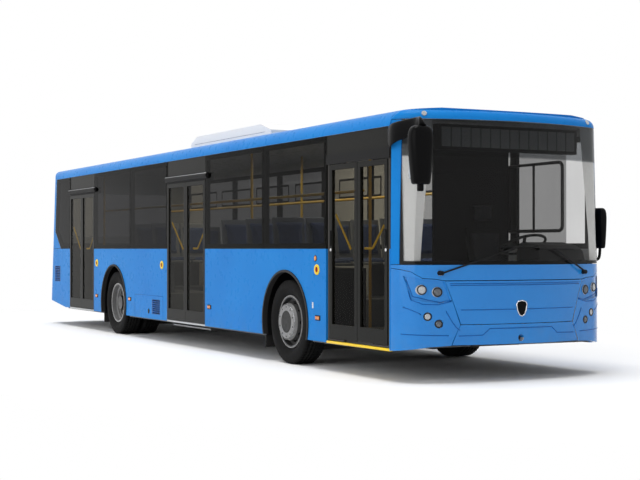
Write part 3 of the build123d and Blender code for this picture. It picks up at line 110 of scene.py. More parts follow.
class Nodes:
    """Short calls on a node tree.  A value is a node's output or a plain number."""

    def __init__(self, tree):
        self.tree = tree

    def feed(self, socket, value):
        if isinstance(value, bpy.types.NodeSocket):
            self.tree.links.new(value, socket)
        else:
            socket.default_value = value

    def add(self, kind, values=None, **settings):
        """A node with its settings, and values for its inputs by name or number."""
        node = self.tree.nodes.new(kind)
        for key, value in settings.items():
            setattr(node, key, value)
        for key, value in (values or {}).items():
            self.feed(node.inputs[key], value)
        return node

    def combine(self, operation, one, other=0):
        return self.add("ShaderNodeMath", {0: one, 1: other}, operation=operation).outputs[0]

    def spread(self, value, start=0.3, end=0.7, low=0, high=1):
        """A value from start to end becomes low to high."""
        return self.add("ShaderNodeMapRange", {0: value, 1: start, 2: end, 3: low, 4: high}).outputs[0]

    def blended(self, factor, first, second):
        """Two shaders mixed by a factor."""
        shaders = {0: factor, 1: first.outputs[0], 2: second.outputs[0]}
        return self.add("ShaderNodeMixShader", shaders).outputs[0]


class Finish(Nodes):
    """A material under construction.  Its colours are 0-255 values or a node's output."""

    def __init__(self, name):
        self.material = bpy.data.materials.new(name)
        self.material.use_nodes = True
        super().__init__(self.material.node_tree)
        self.shader = self.tree.nodes["Principled BSDF"]
        self.coords = self.add("ShaderNodeTexCoord")
        self.place = self.coords.outputs["Object"]

    def set(self, **values):
        """Plain values on the shader's own sockets; an underscore stands for a space."""
        for key, value in values.items():
            self.shader.inputs[key.replace("_", " ")].default_value = value
        return self

    def noise(self, scale, detail):
        values = {"Vector": self.place, "Scale": scale, "Detail": detail}
        return self.add("ShaderNodeTexNoise", values).outputs[0]

    def cells(self, scale):
        return self.add("ShaderNodeTexVoronoi", {"Vector": self.place, "Scale": scale}).outputs["Distance"]

    def waves(self, scale, direction, distortion=0):
        values = {"Vector": self.place, "Scale": scale, "Distortion": distortion}
        return self.add("ShaderNodeTexWave", values, bands_direction=direction).outputs["Fac"]

    def crossed(self, scale, first, second, distortion=0):
        """Two sets of waves laid over each other."""
        return self.combine("MULTIPLY", *(self.waves(scale, way, distortion) for way in (first, second)))

    def axis(self, name):
        return self.add("ShaderNodeSeparateXYZ", {0: self.place}).outputs[name]

    def mixed(self, factor, first, second):
        """A colour between two."""
        first, second = (srgb(*c) if isinstance(c, tuple) else c for c in (first, second))
        return self.add("ShaderNodeMix", {0: factor, 6: first, 7: second}, data_type="RGBA").outputs[2]

    def clouded(self, scale, detail, first, second):
        """Two colours mixed by a noise."""
        return self.mixed(self.spread(self.noise(scale, detail)), first, second)

    def colour(self, output):
        self.feed(self.shader.inputs["Base Color"], output)
        return self

    def rough(self, value, low, high):
        self.feed(self.shader.inputs["Roughness"], self.spread(value, low=low, high=high))
        return self

    def bump(self, height, strength, distance):
        values = {"Strength": strength, "Distance": distance, "Height": height}
        self.feed(self.shader.inputs["Normal"], self.add("ShaderNodeBump", values).outputs["Normal"])
        return self

    def inward(self):
        """1 on faces that look into the body, 0 on those that look out of it."""
        middle = (0, 0, (SKIRT_Z + ROOF_Z) / 2)
        centred = self.add("ShaderNodeVectorMath", {0: self.place, 1: middle}, operation="SUBTRACT")
        both = {0: centred.outputs[0], 1: self.coords.outputs["Normal"]}
        facing = self.add("ShaderNodeVectorMath", both, operation="DOT_PRODUCT")
        return self.spread(facing.outputs["Value"], 0.02, -0.02)

    def surface(self, output):
        """The finished material, whose surface is a shader's output."""
        last = next(n for n in self.tree.nodes if n.type == "OUTPUT_MATERIAL")
        self.feed(last.inputs["Surface"], output)
        return self.material


# ---- finishes ----
BODY_BLUE = ((30, 130, 208), (26, 121, 200))
LINING_GREY = ((188, 190, 190), (172, 174, 175))
# pale tones that paint the reflection seen at the windscreen's near corner
PAINTED_REFLECTION_PALE = ((232, 232, 230), (222, 222, 220))
ROAD_DUST = (96, 112, 128)
DUST_HEIGHT = 0.35
BRAKE_DUST = (52, 51, 50)
RING_BLUR = 0.001


def plain_finish(name, colour, other, grain, roughness, bump, metal=0.0, specular=0.5):
    """Two tones mixed by a grain, with roughness and bump from the same grain."""
    finish = Finish(name)
    pattern = finish.noise(grain, 5)
    tones = finish.mixed(finish.spread(pattern), colour, other)
    worn = finish.mixed(finish.spread(finish.noise(3, 3), 0.35, 0.75, 0, 0.35), tones, other)
    finish.colour(worn).rough(pattern, *roughness).bump(pattern, *bump)
    return finish.set(Metallic=metal, Specular_IOR_Level=specular).material


def lacquered(finish, colour, coat, coat_ior):
    """A colour under clear lacquer with a slight orange peel."""
    finish.colour(colour).rough(finish.noise(14, 4), 0.25, 0.35).bump(finish.noise(3, 2), 0.05, 0.001)
    finish.set(Specular_IOR_Level=0.04, Coat_Weight=coat, Coat_Roughness=0.12, Coat_IOR=coat_ior)
    return finish.material


def body_paint(name, coat, coat_ior):
    """Lacquered blue outside, pale lining inside, a breath of road dust near the skirt."""
    finish = Finish(name)
    blue = finish.clouded(1.1, 4, *BODY_BLUE)
    low = finish.spread(finish.axis("Z"), SKIRT_Z + DUST_HEIGHT, SKIRT_Z, 0, 0.15)
    dust = finish.combine("MULTIPLY", low, finish.spread(finish.noise(9, 6), 0.45, 0.75))
    dusty = finish.mixed(dust, blue, ROAD_DUST)
    lining = finish.clouded(40, 4, *LINING_GREY)
    return lacquered(finish, finish.mixed(finish.inward(), dusty, lining), coat, coat_ior)


def pillar_paint():
    """Body blue on the pillar's outside; pale on the flange that the screen's edge covers and on the inner
    faces, a painted reflection of the screen's near corner.
    """
    finish = Finish("pillar_lacquer_and_reflection")
    flange_x = BOX["windscreen"][0].x
    behind = finish.spread(finish.axis("X"), flange_x - 0.004, flange_x - 0.002)
    reflection_mask = finish.combine("MAXIMUM", behind, finish.inward())
    colour = finish.mixed(reflection_mask, finish.clouded(1.1, 4, *BODY_BLUE), finish.clouded(40, 4, *PAINTED_REFLECTION_PALE))
    return lacquered(finish, colour, 0.05, 1.25)


def see_through(finish, tint, gloss, mirror_ior):
    """Thin glass: light passes, tinted at each face, under a weak mirror on the outer one."""
    clear = finish.add("ShaderNodeBsdfTransparent", {"Color": tint})
    streaks = finish.spread(finish.noise(30, 3), 0.2, 0.8, 0.85, 0.95)
    mirror = finish.add("ShaderNodeBsdfGlossy", {"Roughness": gloss, "Color": streaks})
    fresnel = finish.add("ShaderNodeFresnel", {"IOR": mirror_ior}).outputs[0]
    outer = finish.spread(finish.add("ShaderNodeNewGeometry").outputs["Backfacing"], 0, 1, 1, 0)
    return finish.surface(finish.blended(finish.combine("MULTIPLY", fresnel, outer), clear, mirror))


def left_of(finish, start_x):
    """1 on the left side's glass ahead of an x, 0 on the rest."""
    ahead = finish.spread(finish.axis("X"), start_x - 0.005, start_x + 0.005)
    left = finish.spread(finish.axis("Y"), -0.01, 0.01)
    return finish.combine("MULTIPLY", ahead, left)


def tinted_glass():
    """Side glass: darker towards the rear, clearer at the driver and clear ahead of their window."""
    finish = Finish("tinted_glass")
    smoke = finish.clouded(0.8, 3, (190, 190, 189), (198, 198, 197))
    darker = finish.mixed(finish.spread(finish.axis("X"), 0.6, -0.8), smoke, (164, 164, 165))
    driver = finish.mixed(left_of(finish, DRIVER_WINDOW[0]), darker, (191, 191, 191))
    tint = finish.mixed(left_of(finish, DRIVER_WINDOW[1]), driver, (238, 238, 238))
    return see_through(finish, tint, 0.02, 1.09)


def door_glass():
    finish = Finish("door_glass")
    return see_through(finish, finish.clouded(1.5, 3, (206, 202, 190), (214, 210, 198)), 0.02, 1.09)


def screen_glass():
    """Clear glass with a dark band across its head and a black edge."""
    finish = Finish("screen_glass")
    clear = finish.clouded(1.2, 3, (240, 240, 240), (246, 246, 246))
    band_z = BOX["destination_sign"][0].z - 0.07
    above = finish.spread(finish.axis("Z"), band_z - 0.01, band_z + 0.01)
    banded = finish.mixed(above, clear, (186, 188, 190))
    edge_y = finish.spread(finish.combine("ABSOLUTE", finish.axis("Y")), 1.185, 1.195)
    sill_z = BOX["windscreen"][0].z + 0.030
    sill = finish.spread(finish.axis("Z"), sill_z + 0.005, sill_z - 0.005)
    edge = finish.combine("MAXIMUM", edge_y, sill)
    return see_through(finish, finish.mixed(edge, banded, (60, 60, 62)), 0.015, 1.24)


def tyre_tread():
    finish = Finish("tyre_tread")
    dirt = finish.noise(25, 6)
    dark = finish.mixed(finish.spread(dirt, 0.4, 0.75), (13, 13, 14), (27, 26, 25))
    finish.colour(dark).rough(dirt, 0.62, 0.9).bump(finish.noise(420, 3), 0.25, 0.0008)
    return finish.set(Specular_IOR_Level=0.12).material


FRONT_SHADED_RINGS = [  # where each ring starts, m from the axle, and its grey; the dark rings are painted shade in the dish, over the hand holes and round the hub
    (0.0, 36), (0.106, 12), (0.126, 140), (0.190, 16), (0.198, 150), (0.212, 66), (0.286, 140),
]
# rear discs: their dark rings are painted shade in the deep dish and round the hub
REAR_SHADED_RINGS = [(0.0, 96), (0.100, 30), (0.132, 88), (0.205, 44), (0.225, 128), (0.284, 160)]


def wheel_enamel(name, axle_x, rings):
    """Silver enamel in rings about the axle, with painted shade in its dark rings, dulled by brake dust."""
    finish = Finish(name)
    dust = finish.noise(18, 6)
    across = finish.combine("SUBTRACT", finish.axis("X"), axle_x)
    up = finish.combine("SUBTRACT", finish.axis("Z"), AXLE_Z)
    squares = finish.combine("ADD", *(finish.combine("MULTIPLY", way, way) for way in (across, up)))
    radius = finish.combine("POWER", squares, 0.5)
    enamel_and_shade = (rings[0][1],) * 3
    for start, grey in rings[1:]:
        enamel_and_shade = finish.mixed(finish.spread(radius, start - RING_BLUR, start + RING_BLUR), enamel_and_shade, (grey,) * 3)
    finish.colour(finish.mixed(finish.spread(dust, 0.35, 0.75, 0, 0.3), enamel_and_shade, BRAKE_DUST))
    finish.rough(dust, 0.3, 0.55).bump(finish.noise(350, 3), 0.15, 0.0005)
    return finish.set(Metallic=0.2, Specular_IOR_Level=0.2).material


def seat_cloth():
    """Woven plush: two crossing yarns with a fleck of lighter blue."""
    finish = Finish("seat_cloth")
    yarn = finish.crossed(260, "Y", "Z", 0.6)
    fleck = finish.spread(finish.cells(70), 0.1, 0.35)
    finish.colour(finish.mixed(fleck, (96, 124, 168), finish.mixed(yarn, (26, 44, 84), (44, 68, 118))))
    finish.rough(finish.noise(80, 4), 0.8, 0.95).bump(yarn, 0.5, 0.0012)
    return finish.set(Sheen_Weight=0.3, Sheen_Roughness=0.5).material


def floor_vinyl():
    """Grey vinyl with scattered chips."""
    finish = Finish("floor_vinyl")
    chips = finish.spread(finish.cells(130), 0.05, 0.3)
    base = finish.clouded(6, 5, (78, 80, 82), (96, 97, 98))
    finish.colour(finish.mixed(chips, (150, 152, 150), base))
    return finish.rough(finish.noise(20, 4), 0.5, 0.75).bump(chips, 0.1, 0.0006).material


def chequer_plate():
    """Bare aluminium with raised bars."""
    finish = Finish("chequer_plate")
    raised = finish.spread(finish.crossed(28, "DIAGONAL", "Y"), 0.45, 0.6)
    finish.colour(finish.clouded(35, 5, (150, 152, 154), (116, 117, 118)))
    finish.rough(finish.noise(60, 4), 0.35, 0.6).bump(raised, 0.6, 0.002)
    return finish.set(Metallic=0.8).material


def lamp_lens(name, deep, light):
    """Moulded lens with fluted inner face."""
    finish = Finish(name)
    flutes = finish.crossed(55, "Y", "Z")
    finish.colour(finish.mixed(finish.spread(flutes, 0.2, 0.8), deep, light))
    finish.rough(finish.noise(30, 3), 0.08, 0.16).bump(flutes, 0.3, 0.001)
    return finish.set(Coat_Weight=0.6, Coat_Roughness=0.03).material


def led_face():
    """Unlit display face: a close grid of dark dots."""
    finish = Finish("led_face")
    dots = finish.crossed(24, "Y", "Z")
    finish.colour(finish.mixed(finish.spread(dots, 0.3, 0.8), (128, 128, 126), (176, 174, 168)))
    return finish.rough(finish.noise(50, 3), 0.35, 0.5).bump(dots, 0.3, 0.001).material


PLAIN = {  # two tones, grain, roughness, bump strength and distance, metal, specular
    "black_gloss": ((26, 26, 25), (33, 33, 31), 300, (0.25, 0.4), (0.04, 0.0003), 0, 0.06),
    "black_plastic": ((16, 16, 17), (26, 26, 27), 420, (0.42, 0.62), (0.3, 0.0008), 0, 0.1),
    "frame_steel": ((30, 30, 31), (58, 54, 50), 60, (0.5, 0.75), (0.3, 0.001), 0.2),
    "interior_grey": ((122, 124, 126), (104, 106, 108), 380, (0.5, 0.65), (0.2, 0.0006)),
    "rail_yellow": ((250, 214, 30), (240, 200, 20), 200, (0.3, 0.45), (0.12, 0.0005)),
    "rubber": ((17, 17, 18), (33, 31, 30), 260, (0.5, 0.75), (0.3, 0.001), 0, 0.35),
    "cast": ((44, 43, 42), (66, 60, 54), 90, (0.55, 0.8), (0.4, 0.002), 0.4),
    "unit_white": ((250, 247, 242), (246, 243, 238), 120, (0.35, 0.5), (0.08, 0.0006)),
    "chrome": ((212, 214, 216), (190, 192, 196), 90, (0.05, 0.14), (0.03, 0.0003), 1),
    "dark_trim": ((13, 13, 14), (24, 24, 25), 300, (0.4, 0.6), (0.2, 0.0006), 0, 0.3),
    # pale trim; on the sheet behind the windscreen's near corner it paints a reflection
    "pale_trim_and_painted_reflection": ((226, 226, 226), (214, 214, 214), 260, (0.45, 0.6), (0.15, 0.0006)),
    "seat_shell": ((120, 124, 130), (98, 102, 108), 300, (0.4, 0.6), (0.2, 0.0006)),
    "mirror_glass": ((190, 196, 200), (170, 176, 182), 4, (0.02, 0.05), (0.01, 0.0002), 1),
    "gloss_black": ((8, 8, 9), (13, 13, 14), 240, (0.15, 0.3), (0.05, 0.0005), 0, 0.05),
    "cab_dark": ((13, 13, 14), (20, 20, 21), 320, (0.5, 0.7), (0.25, 0.0007), 0, 0.08),
    # darker blue: painted shade along the nose's pressed lines and creases; also the side grilles' colour and
    # the dark joint of the panel seams
    "shade_and_seam_blue": ((16, 92, 166), (14, 84, 154), 200, (0.3, 0.4), (0.05, 0.0004), 0, 0.1),
    "bright_alu": ((196, 198, 200), (168, 170, 172), 150, (0.25, 0.4), (0.08, 0.0004), 0.6),
    "lens_dark": ((58, 62, 68), (110, 114, 120), 40, (0.05, 0.12), (0.05, 0.0004), 0.6),
    "rail_mustard": ((204, 164, 44), (188, 148, 36), 200, (0.3, 0.45), (0.12, 0.0005)),
    "button_red": ((150, 12, 6), (128, 8, 4), 60, (0.4, 0.55), (0.05, 0.0003), 0, 0.1),
    "driver_cloth": ((30, 31, 34), (46, 47, 51), 600, (0.8, 0.95), (0.4, 0.001), 0, 0.2),
}
FINISHES = {name: plain_finish(name, *values) for name, values in PLAIN.items()}
FINISHES |= {
    "blue_paint": body_paint("blue_lacquer", 0.05, 1.25),
    "nose_lacquer": body_paint("nose_lacquer", 1.0, 1.4),
    "pillar_lacquer_and_reflection": pillar_paint(),
    "dark_glass": tinted_glass(),
    "clear_glass": screen_glass(),
    "door_glass": door_glass(),
    "floor_grey": floor_vinyl(),
    "seat_blue": seat_cloth(),
    "rim_silver": wheel_enamel("wheel_enamel", FRONT_AXLE_X, FRONT_SHADED_RINGS),
    "rear_rim_silver": wheel_enamel("rear_enamel_and_painted_shade", REAR_AXLE_X, REAR_SHADED_RINGS),
    "tyre_rubber": tyre_tread(),
    "ramp_alu": chequer_plate(),
    "lamp_clear": lamp_lens("lamp_clear", (150, 152, 154), (232, 234, 236)),
    "lamp_red": lamp_lens("lamp_red", (120, 8, 8), (196, 26, 22)),
    "lamp_amber": lamp_lens("lamp_amber", (204, 112, 6), (242, 154, 24)),
    "led_face": led_face(),
}
OWN_FINISHES = {  # CAD nodes that don't wear the finish of their slot
    "door_glass": ("front_door_glass_front", "front_door_glass_rear", "plug_door_glass"),
    "pillar_lacquer_and_reflection": ("front_pillars",),
    "shade_and_seam_blue": ("side_grilles",),
    "rail_mustard": ("handrails",),
    "nose_lacquer": ("front_bumper", "front_corner_panels", "front_cowl", "front_flap", "headlamp_panels"),
    "rear_rim_silver": ("rear_left_rim", "rear_right_rim"),
    "cab_dark": ("cab_partition", "dashboard"),
}

for cad_node in NODES.values():
    for held in cad_node.material_slots:
        held.material = FINISHES[held.material.name.split(".")[0]]
for finish_name, node_names in OWN_FINISHES.items():
    for node_name in node_names:
        NODES[node_name].material_slots[0].material = FINISHES[finish_name]

# ---- mesh building ----


def placed(name, data):
    """A new object in the scene."""
    thing = bpy.data.objects.new(name, data)
    bpy.context.scene.collection.objects.link(thing)
    return thing


def piece_from(bm, name, finish, body="body", slot=None, smooth=True, soften=0):
    """A finished mesh becomes a piece that rides on a CAD body. The slot argument is not used.

    Its sharp edges are rounded by a width if asked, as those of moulded and pressed parts are.
    """
    bmesh.ops.recalc_face_normals(bm, faces=bm.faces)
    mesh = bpy.data.meshes.new(name)
    bm.to_mesh(mesh)
    bm.free()
    mesh.shade_smooth() if smooth else mesh.shade_flat()
    mesh.materials.append(FINISHES[finish])
    piece = placed(name, mesh)
    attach(piece, body)
    if soften:
        bevel = piece.modifiers.new("soft_edges", "BEVEL")
        bevel.width = soften
        bevel.segments = 2
        bevel.limit_method = "ANGLE"
        bevel.harden_normals = True
    return piece


def add_part(bm, part, matrix=None):
    """Moves a part's faces into a mesh under construction."""
    if matrix is not None:
        part.transform(matrix)
    copy = bpy.data.meshes.new("part")
    part.to_mesh(copy)
    part.free()
    bm.from_mesh(copy)
    bpy.data.meshes.remove(copy)


def add_box(bm, low, high, turn=None):
    """Box between two corners, turned about its centre if asked."""
    low, high = Vector(low), Vector(high)
    matrix = Matrix.Translation((low + high) / 2)
    if turn is not None:
        matrix = matrix @ turn
    bmesh.ops.create_cube(bm, size=1, matrix=matrix @ Matrix.Diagonal((*(high - low), 1)))


def round_edges(bm, radius):
    bmesh.ops.bevel(bm, geom=list(bm.edges), offset=radius, segments=3, profile=0.5, affect="EDGES")


def add_rounded_box(bm, low, high, radius):
    """Box whose edges are rounded."""
    part = bmesh.new()
    add_box(part, low, high)
    round_edges(part, radius)
    add_part(bm, part)


def circle(steps):
    """Cosine and sine at each step of a full turn."""
    turns = [2 * math.pi * k / steps for k in range(steps)]
    return [(math.cos(turn), math.sin(turn)) for turn in turns]


def stitch(bm, one, other, closed=True):
    """Faces between two runs of as many points."""
    count = len(one)
    for k in range(count if closed else count - 1):
        after = (k + 1) % count
        bm.faces.new((one[k], one[after], other[after], other[k]))


def loft(bm, rings):
    """Solid through a run of rings."""
    for one, other in zip(rings, rings[1:]):
        stitch(bm, one, other)
    bm.faces.new(rings[0])
    bm.faces.new(rings[-1])


def headings(points):
    """Each point of a run, and the way the run passes it."""
    points = [Vector(p) for p in points]
    return [(point, after - before)
            for before, point, after in zip(points[:1] + points, points, points[1:] + points[-1:])]


def add_bracket(bm, points, start, end, sides=16):
    """Oval bar along points, its half height and half depth going from a start to an end pair."""
    run = headings(points)
    rings = []
    for number, (point, ahead) in enumerate(run):
        across = ahead.cross(Vector((0, 0, 1))).normalized()
        up = across.cross(ahead).normalized()
        share = number / (len(run) - 1)
        tall, deep = (first * (1 - share) + last * share for first, last in zip(start, end))
        rings.append([bm.verts.new(point + up * tall * sine + across * deep * cosine)
                      for cosine, sine in circle(sides)])
    loft(bm, rings)


def add_bar(bm, start, end, width, y):
    """Flat bar between two (x, z) points, from one y to another."""
    (x1, z1), (x2, z2) = start, end
    across = Vector((-(z2 - z1), 0, x2 - x1)) / math.hypot(x2 - x1, z2 - z1) * width / 2
    corners = ((x1, z1, 1), (x2, z2, 1), (x2, z2, -1), (x1, z1, -1))
    loft(bm, [[bm.verts.new(Vector((x, depth, z)) + across * sign) for x, z, sign in corners] for depth in y])


def add_tube(bm, points, radius, sides=12):
    """Capped tube along a run of points."""
    rings = []
    across = None
    for point, ahead in headings(points):
        ahead.normalize()
        across = ahead.orthogonal().normalized() if across is None else across
        across = (across - ahead * across.dot(ahead)).normalized()
        up = ahead.cross(across)
        rings.append([bm.verts.new(point + (across * cosine + up * sine) * radius)
                      for cosine, sine in circle(sides)])
    loft(bm, rings)


def boxes_piece(name, finish, boxes, radius, **riding):
    """A piece of rounded boxes."""
    bm = bmesh.new()
    for low, high in boxes:
        add_rounded_box(bm, low, high, radius)
    return piece_from(bm, name, finish, **riding)


def tubes_piece(name, finish, runs, radius, sides, **riding):
    """A piece of tubes, each along a run of points."""
    bm = bmesh.new()
    for run in runs:
        add_tube(bm, run, radius, sides)
    return piece_from(bm, name, finish, **riding)


def add_dome(bm, place, normal, radius, height, rings=6, sides=32):
    """Shallow round lens."""
    across = normal.orthogonal().normalized()
    up = normal.cross(across)
    last = None
    for k in range(rings):
        angle = math.pi / 2 * k / rings
        size, rise = radius * math.cos(angle), height * math.sin(angle)
        ring = [bm.verts.new(place + normal * rise + (across * cosine + up * sine) * size)
                for cosine, sine in circle(sides)]
        if last:
            stitch(bm, last, ring)
        last = ring
    tip = bm.verts.new(place + normal * height)
    for i in range(sides):
        bm.faces.new((last[i], last[(i + 1) % sides], tip))


def smooth_path(points, steps=8):
    """Points along a smooth curve through the given ones."""
    points = [Vector(p) for p in points]
    path = []
    for before, start, end, after in zip(points[:1] + points, points, points[1:], points[2:] + points[-1:]):
        for t in [k / steps for k in range(steps)]:
            square = 2 * before - 5 * start + 4 * end - after
            cube = 3 * start - before - 3 * end + after
            path.append(0.5 * (2 * start + (end - before) * t + square * t * t + cube * t ** 3))
    return path + [points[-1]]


def add_turned(bm, profiles, x, y, z):
    """Closed profiles of (y, radius), one for each step round the axle through x, z."""
    rings = [[bm.verts.new((x + r * cosine, y + across, z + r * sine)) for across, r in profile]
             for profile, (cosine, sine) in zip(profiles, circle(len(profiles)))]
    for one, other in zip(rings, rings[1:] + rings[:1]):
        stitch(bm, one, other)


def add_ring(bm, place, normal, profile, steps=40):
    """Ring of one profile on a surface."""
    part = bmesh.new()
    add_turned(part, [profile] * steps, 0, 0, 0)
    add_part(bm, part, Matrix.Translation(place) @ normal.to_track_quat("Y", "Z").to_matrix().to_4x4())


# ---- the nose's and tail's outer faces ----


def shell_of(*names):
    """Search tree over the faces of some CAD nodes."""
    points, faces = [], []
    for name in names:
        mesh = NODES[name].data
        start = len(points)
        points += [v.co.copy() for v in mesh.vertices]
        faces += [[start + i for i in face.vertices] for face in mesh.polygons]
    return BVHTree.FromPolygons(points, faces)


NOSE_SHELL = shell_of("windscreen", "front_cowl", "front_corner_panels", "front_flap", "front_bumper",
                      "front_pillars", "front_cap", "headlamps", "headlamp_panels")
TAIL_SHELL = shell_of("rear_wall", "rear_window", "rear_bumper", "engine_lid")


def shell_point(shell, start_x, end_x, y, z):
    """Point and normal where a shell's outer face is met along X, or else the nearest ones."""
    way = Vector((math.copysign(1, end_x - start_x), 0, 0))
    place, normal, _, _ = shell.ray_cast(Vector((start_x, y, z)), way)
    if place is None:
        place, normal, _, _ = shell.find_nearest(Vector((end_x, y, z)))
    return place, normal


def nose_point(y, z, proud=0.0):
    """Point on the nose's outer face, moved out along its level normal."""
    place, normal = shell_point(NOSE_SHELL, NOSE_X + 1, NOSE_X, y, z)
    flat = Vector((normal.x, normal.y, 0)).normalized()
    return place + flat * proud, flat


def tail_point(y, z, proud=0.0):
    """Point on the tail's outer face, moved out along its normal."""
    place, normal = shell_point(TAIL_SHELL, -NOSE_X - 2, -NOSE_X, y, z)
    return place + normal * proud, normal


def nose_run(points, gap=0.04):
    """Points on the nose along a run of (y, z), a gap apart at most."""
    run = []
    for (y1, z1), (y2, z2) in zip(points, points[1:]):
        count = max(1, math.ceil(math.hypot(y2 - y1, z2 - z1) / gap))
        run += [(y1 + (y2 - y1) * k / count, z1 + (z2 - z1) * k / count) for k in range(count)]
    return [nose_point(y, z)[0] for y, z in run + [points[-1]]]


# ---- tyres ----
TREAD_PITCHES = 60
PITCH_STEPS = 4
FLUTE_STEPS = 2
GROOVE_DEPTH = 0.012
SHOULDER_DEPTH = GROOVE_DEPTH * 0.8
SIPE_DEPTH = 0.006
RIB_GROOVES = (-0.066, -0.022, 0.022, 0.066)
GROOVE_HALF = 0.005
GROOVE_SHAPE = ((-1.6, False), (-1, True), (1, True), (1.6, False))  # half grooves from its middle, cut
TREAD_SHARE = 0.875
CROWN_FALL = 0.005
WALL_FLUTE = 0.0006
SIDEWALL = [  # share of half the width, distance from the axle, is fluted
    (0.70, 0.3005, False), (0.735, 0.308, False), (0.77, 0.316, False), (0.86, 0.335, True),
    (0.955, 0.362, True), (1.0, 0.388, True), (1.0, 0.405, False), (0.985, 0.424, False),
    (0.965, 0.443, False), (0.93, 0.458, False),
]


def tread_columns():
    """(y, is cut) across the tread, edge to edge."""
    edge = TYRE_WIDTH / 2 * TREAD_SHARE
    stops = {-edge: False, edge: False, 0.0: False}
    for groove in RIB_GROOVES:
        for offset, cut in GROOVE_SHAPE:
            stops[groove + offset * GROOVE_HALF] = cut
    return sorted(stops.items())


def tyre_profile(step):
    """Closed (y, radius) profile of a tyre at one step of a tread pitch."""
    half = TYRE_WIDTH / 2
    flute = WALL_FLUTE if step < FLUTE_STEPS else 0
    wall = [(share * half, r + flute * fluted) for share, r, fluted in SIDEWALL]
    tread = []
    for y, cut in tread_columns():
        r = TYRE_RADIUS - CROWN_FALL * (y / half) ** 2
        if cut:
            r -= GROOVE_DEPTH
        elif step == 0:
            r -= SHOULDER_DEPTH if abs(y) > RIB_GROOVES[-1] + GROOVE_HALF else SIPE_DEPTH
        tread.append((y, r))
    return [(-y, r) for y, r in wall] + tread + wall[::-1]


def wheels():
    """Name, body, side and is in front, of every wheel."""
    for end, ending in (("front", "wheel"), ("rear", "wheels")):
        for side_name, side in (("left", 1), ("right", -1)):
            yield f"{end}_{side_name}", f"{end}_{side_name}_{ending}", side, end == "front"


def make_tyres():
    """Every CAD tyre node gets treaded tyres in its place."""
    profiles = [tyre_profile(step) for step in range(PITCH_STEPS)] * TREAD_PITCHES
    for name, body, side, front in wheels():
        low, high = BOX[f"{name}_tyre"]
        bm = bmesh.new()
        inner, outer = sorted((abs(low.y), abs(high.y)))
        for middle in (outer - TYRE_WIDTH / 2, inner + TYRE_WIDTH / 2)[:1 if front else 2]:
            add_turned(bm, profiles, (low.x + high.x) / 2, side * middle, AXLE_Z)
        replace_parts(piece_from(bm, f"{name}_treaded_tyre", "tyre_rubber", body), f"{name}_tyre")


# ---- wheel fittings ----
STUD_COUNT = 10
STUD_CIRCLE = 0.1675
NUT_RADIUS = 0.0185
NUT_HEIGHT = 0.028
NUT_PARTS = [  # radius, sides, start and end along the stud: washer, nut and stud end
    (NUT_RADIUS * 1.35, 16, 0, 0.005), (NUT_RADIUS, 6, 0.005, NUT_HEIGHT),
    (NUT_RADIUS * 0.55, 10, NUT_HEIGHT, NUT_HEIGHT + 0.01),
]
FRONT_NUT_SHARE = 0.25      # how much of a nut stands clear of the front wheels' disc
FRONT_NUT_INSET = 0.008     # where the nuts start, in from the rim's outer face
REAR_NUT_INSET = 0.121
BEADING = [(-0.001, 0.196), (-0.001, 0.201), (-0.007, 0.203), (-0.007, 0.194)]   # depth and radius
BEADING_STEPS = 96


def make_wheel_fittings():
    """Ring of nuts on every outer wheel, and a bright beading on the front ones."""
    for name, body, side, front in wheels():
        low, high = BOX[f"{name}_rim"]
        x = (low.x + high.x) / 2
        outer = max(abs(low.y), abs(high.y))
        face = side * (outer - (FRONT_NUT_INSET if front else REAR_NUT_INSET))
        out = side * FRONT_NUT_SHARE if front else -side
        bm = bmesh.new()
        for angle in [2 * math.pi * (k + 0.5) / STUD_COUNT for k in range(STUD_COUNT)]:
            stud_x, stud_z = x + STUD_CIRCLE * math.cos(angle), AXLE_Z + STUD_CIRCLE * math.sin(angle)
            for radius, sides, start, end in NUT_PARTS:
                add_tube(bm, [(stud_x, face + out * depth, stud_z) for depth in (start, end)], radius, sides)
        piece_from(bm, f"{name}_wheel_nuts", "dark_trim", body, "cast", smooth=False)
        if front:
            bm = bmesh.new()
            profile = [(side * (outer + depth), radius) for depth, radius in BEADING]
            add_turned(bm, [profile] * BEADING_STEPS, x, 0, AXLE_Z)
            piece_from(bm, f"{name}_disc_beading", "chrome", body, "rim_silver")


# ---- mirrors ----
CORNER_POWER = 3.2          # how square the housings' sections are
HOUSING_STEPS = 36
HOUSING_SECTIONS = [  # share of height, width and depth
    (0.0, 0.60, 0.62), (0.008, 0.66, 0.74), (0.03, 0.70, 0.84), (0.10, 0.74, 0.90), (0.35, 0.86, 0.97),
    (0.60, 0.96, 1.0), (0.75, 1.0, 1.0), (0.87, 0.96, 0.96), (0.94, 0.86, 0.86), (0.98, 0.70, 0.70),
    (1.0, 0.50, 0.50),
]
MIRRORS_LOW, MIRRORS_HIGH = BOX["mirrors"]
MIRROR_BOXES = {  # two corners of each housing
    "right": (Vector((NOSE_X + 0.060, MIRRORS_LOW.y, 1.910)),
              Vector((NOSE_X + 0.220, MIRRORS_LOW.y + 0.250, 2.460))),
    "left": (Vector((MIRRORS_LOW.x, MIRRORS_HIGH.y - 0.100, 1.310)),
             Vector((MIRRORS_LOW.x + 0.180, MIRRORS_HIGH.y, 1.740))),
}
GLASS_INSET = (0.16, 0.09)      # share of the housing's width and height
GLASS_TOP = 1.4                 # the upper inset against the lower one
RIGHT_ROOT = Vector((PILLAR_X - 0.02, RIGHT_Y - 0.005, 2.395))
BRACKET_ROOT = (0.115, 0.018)   # half height and half depth
BRACKET_TIP = (0.045, 0.022)
STALK_RADIUS = 0.016


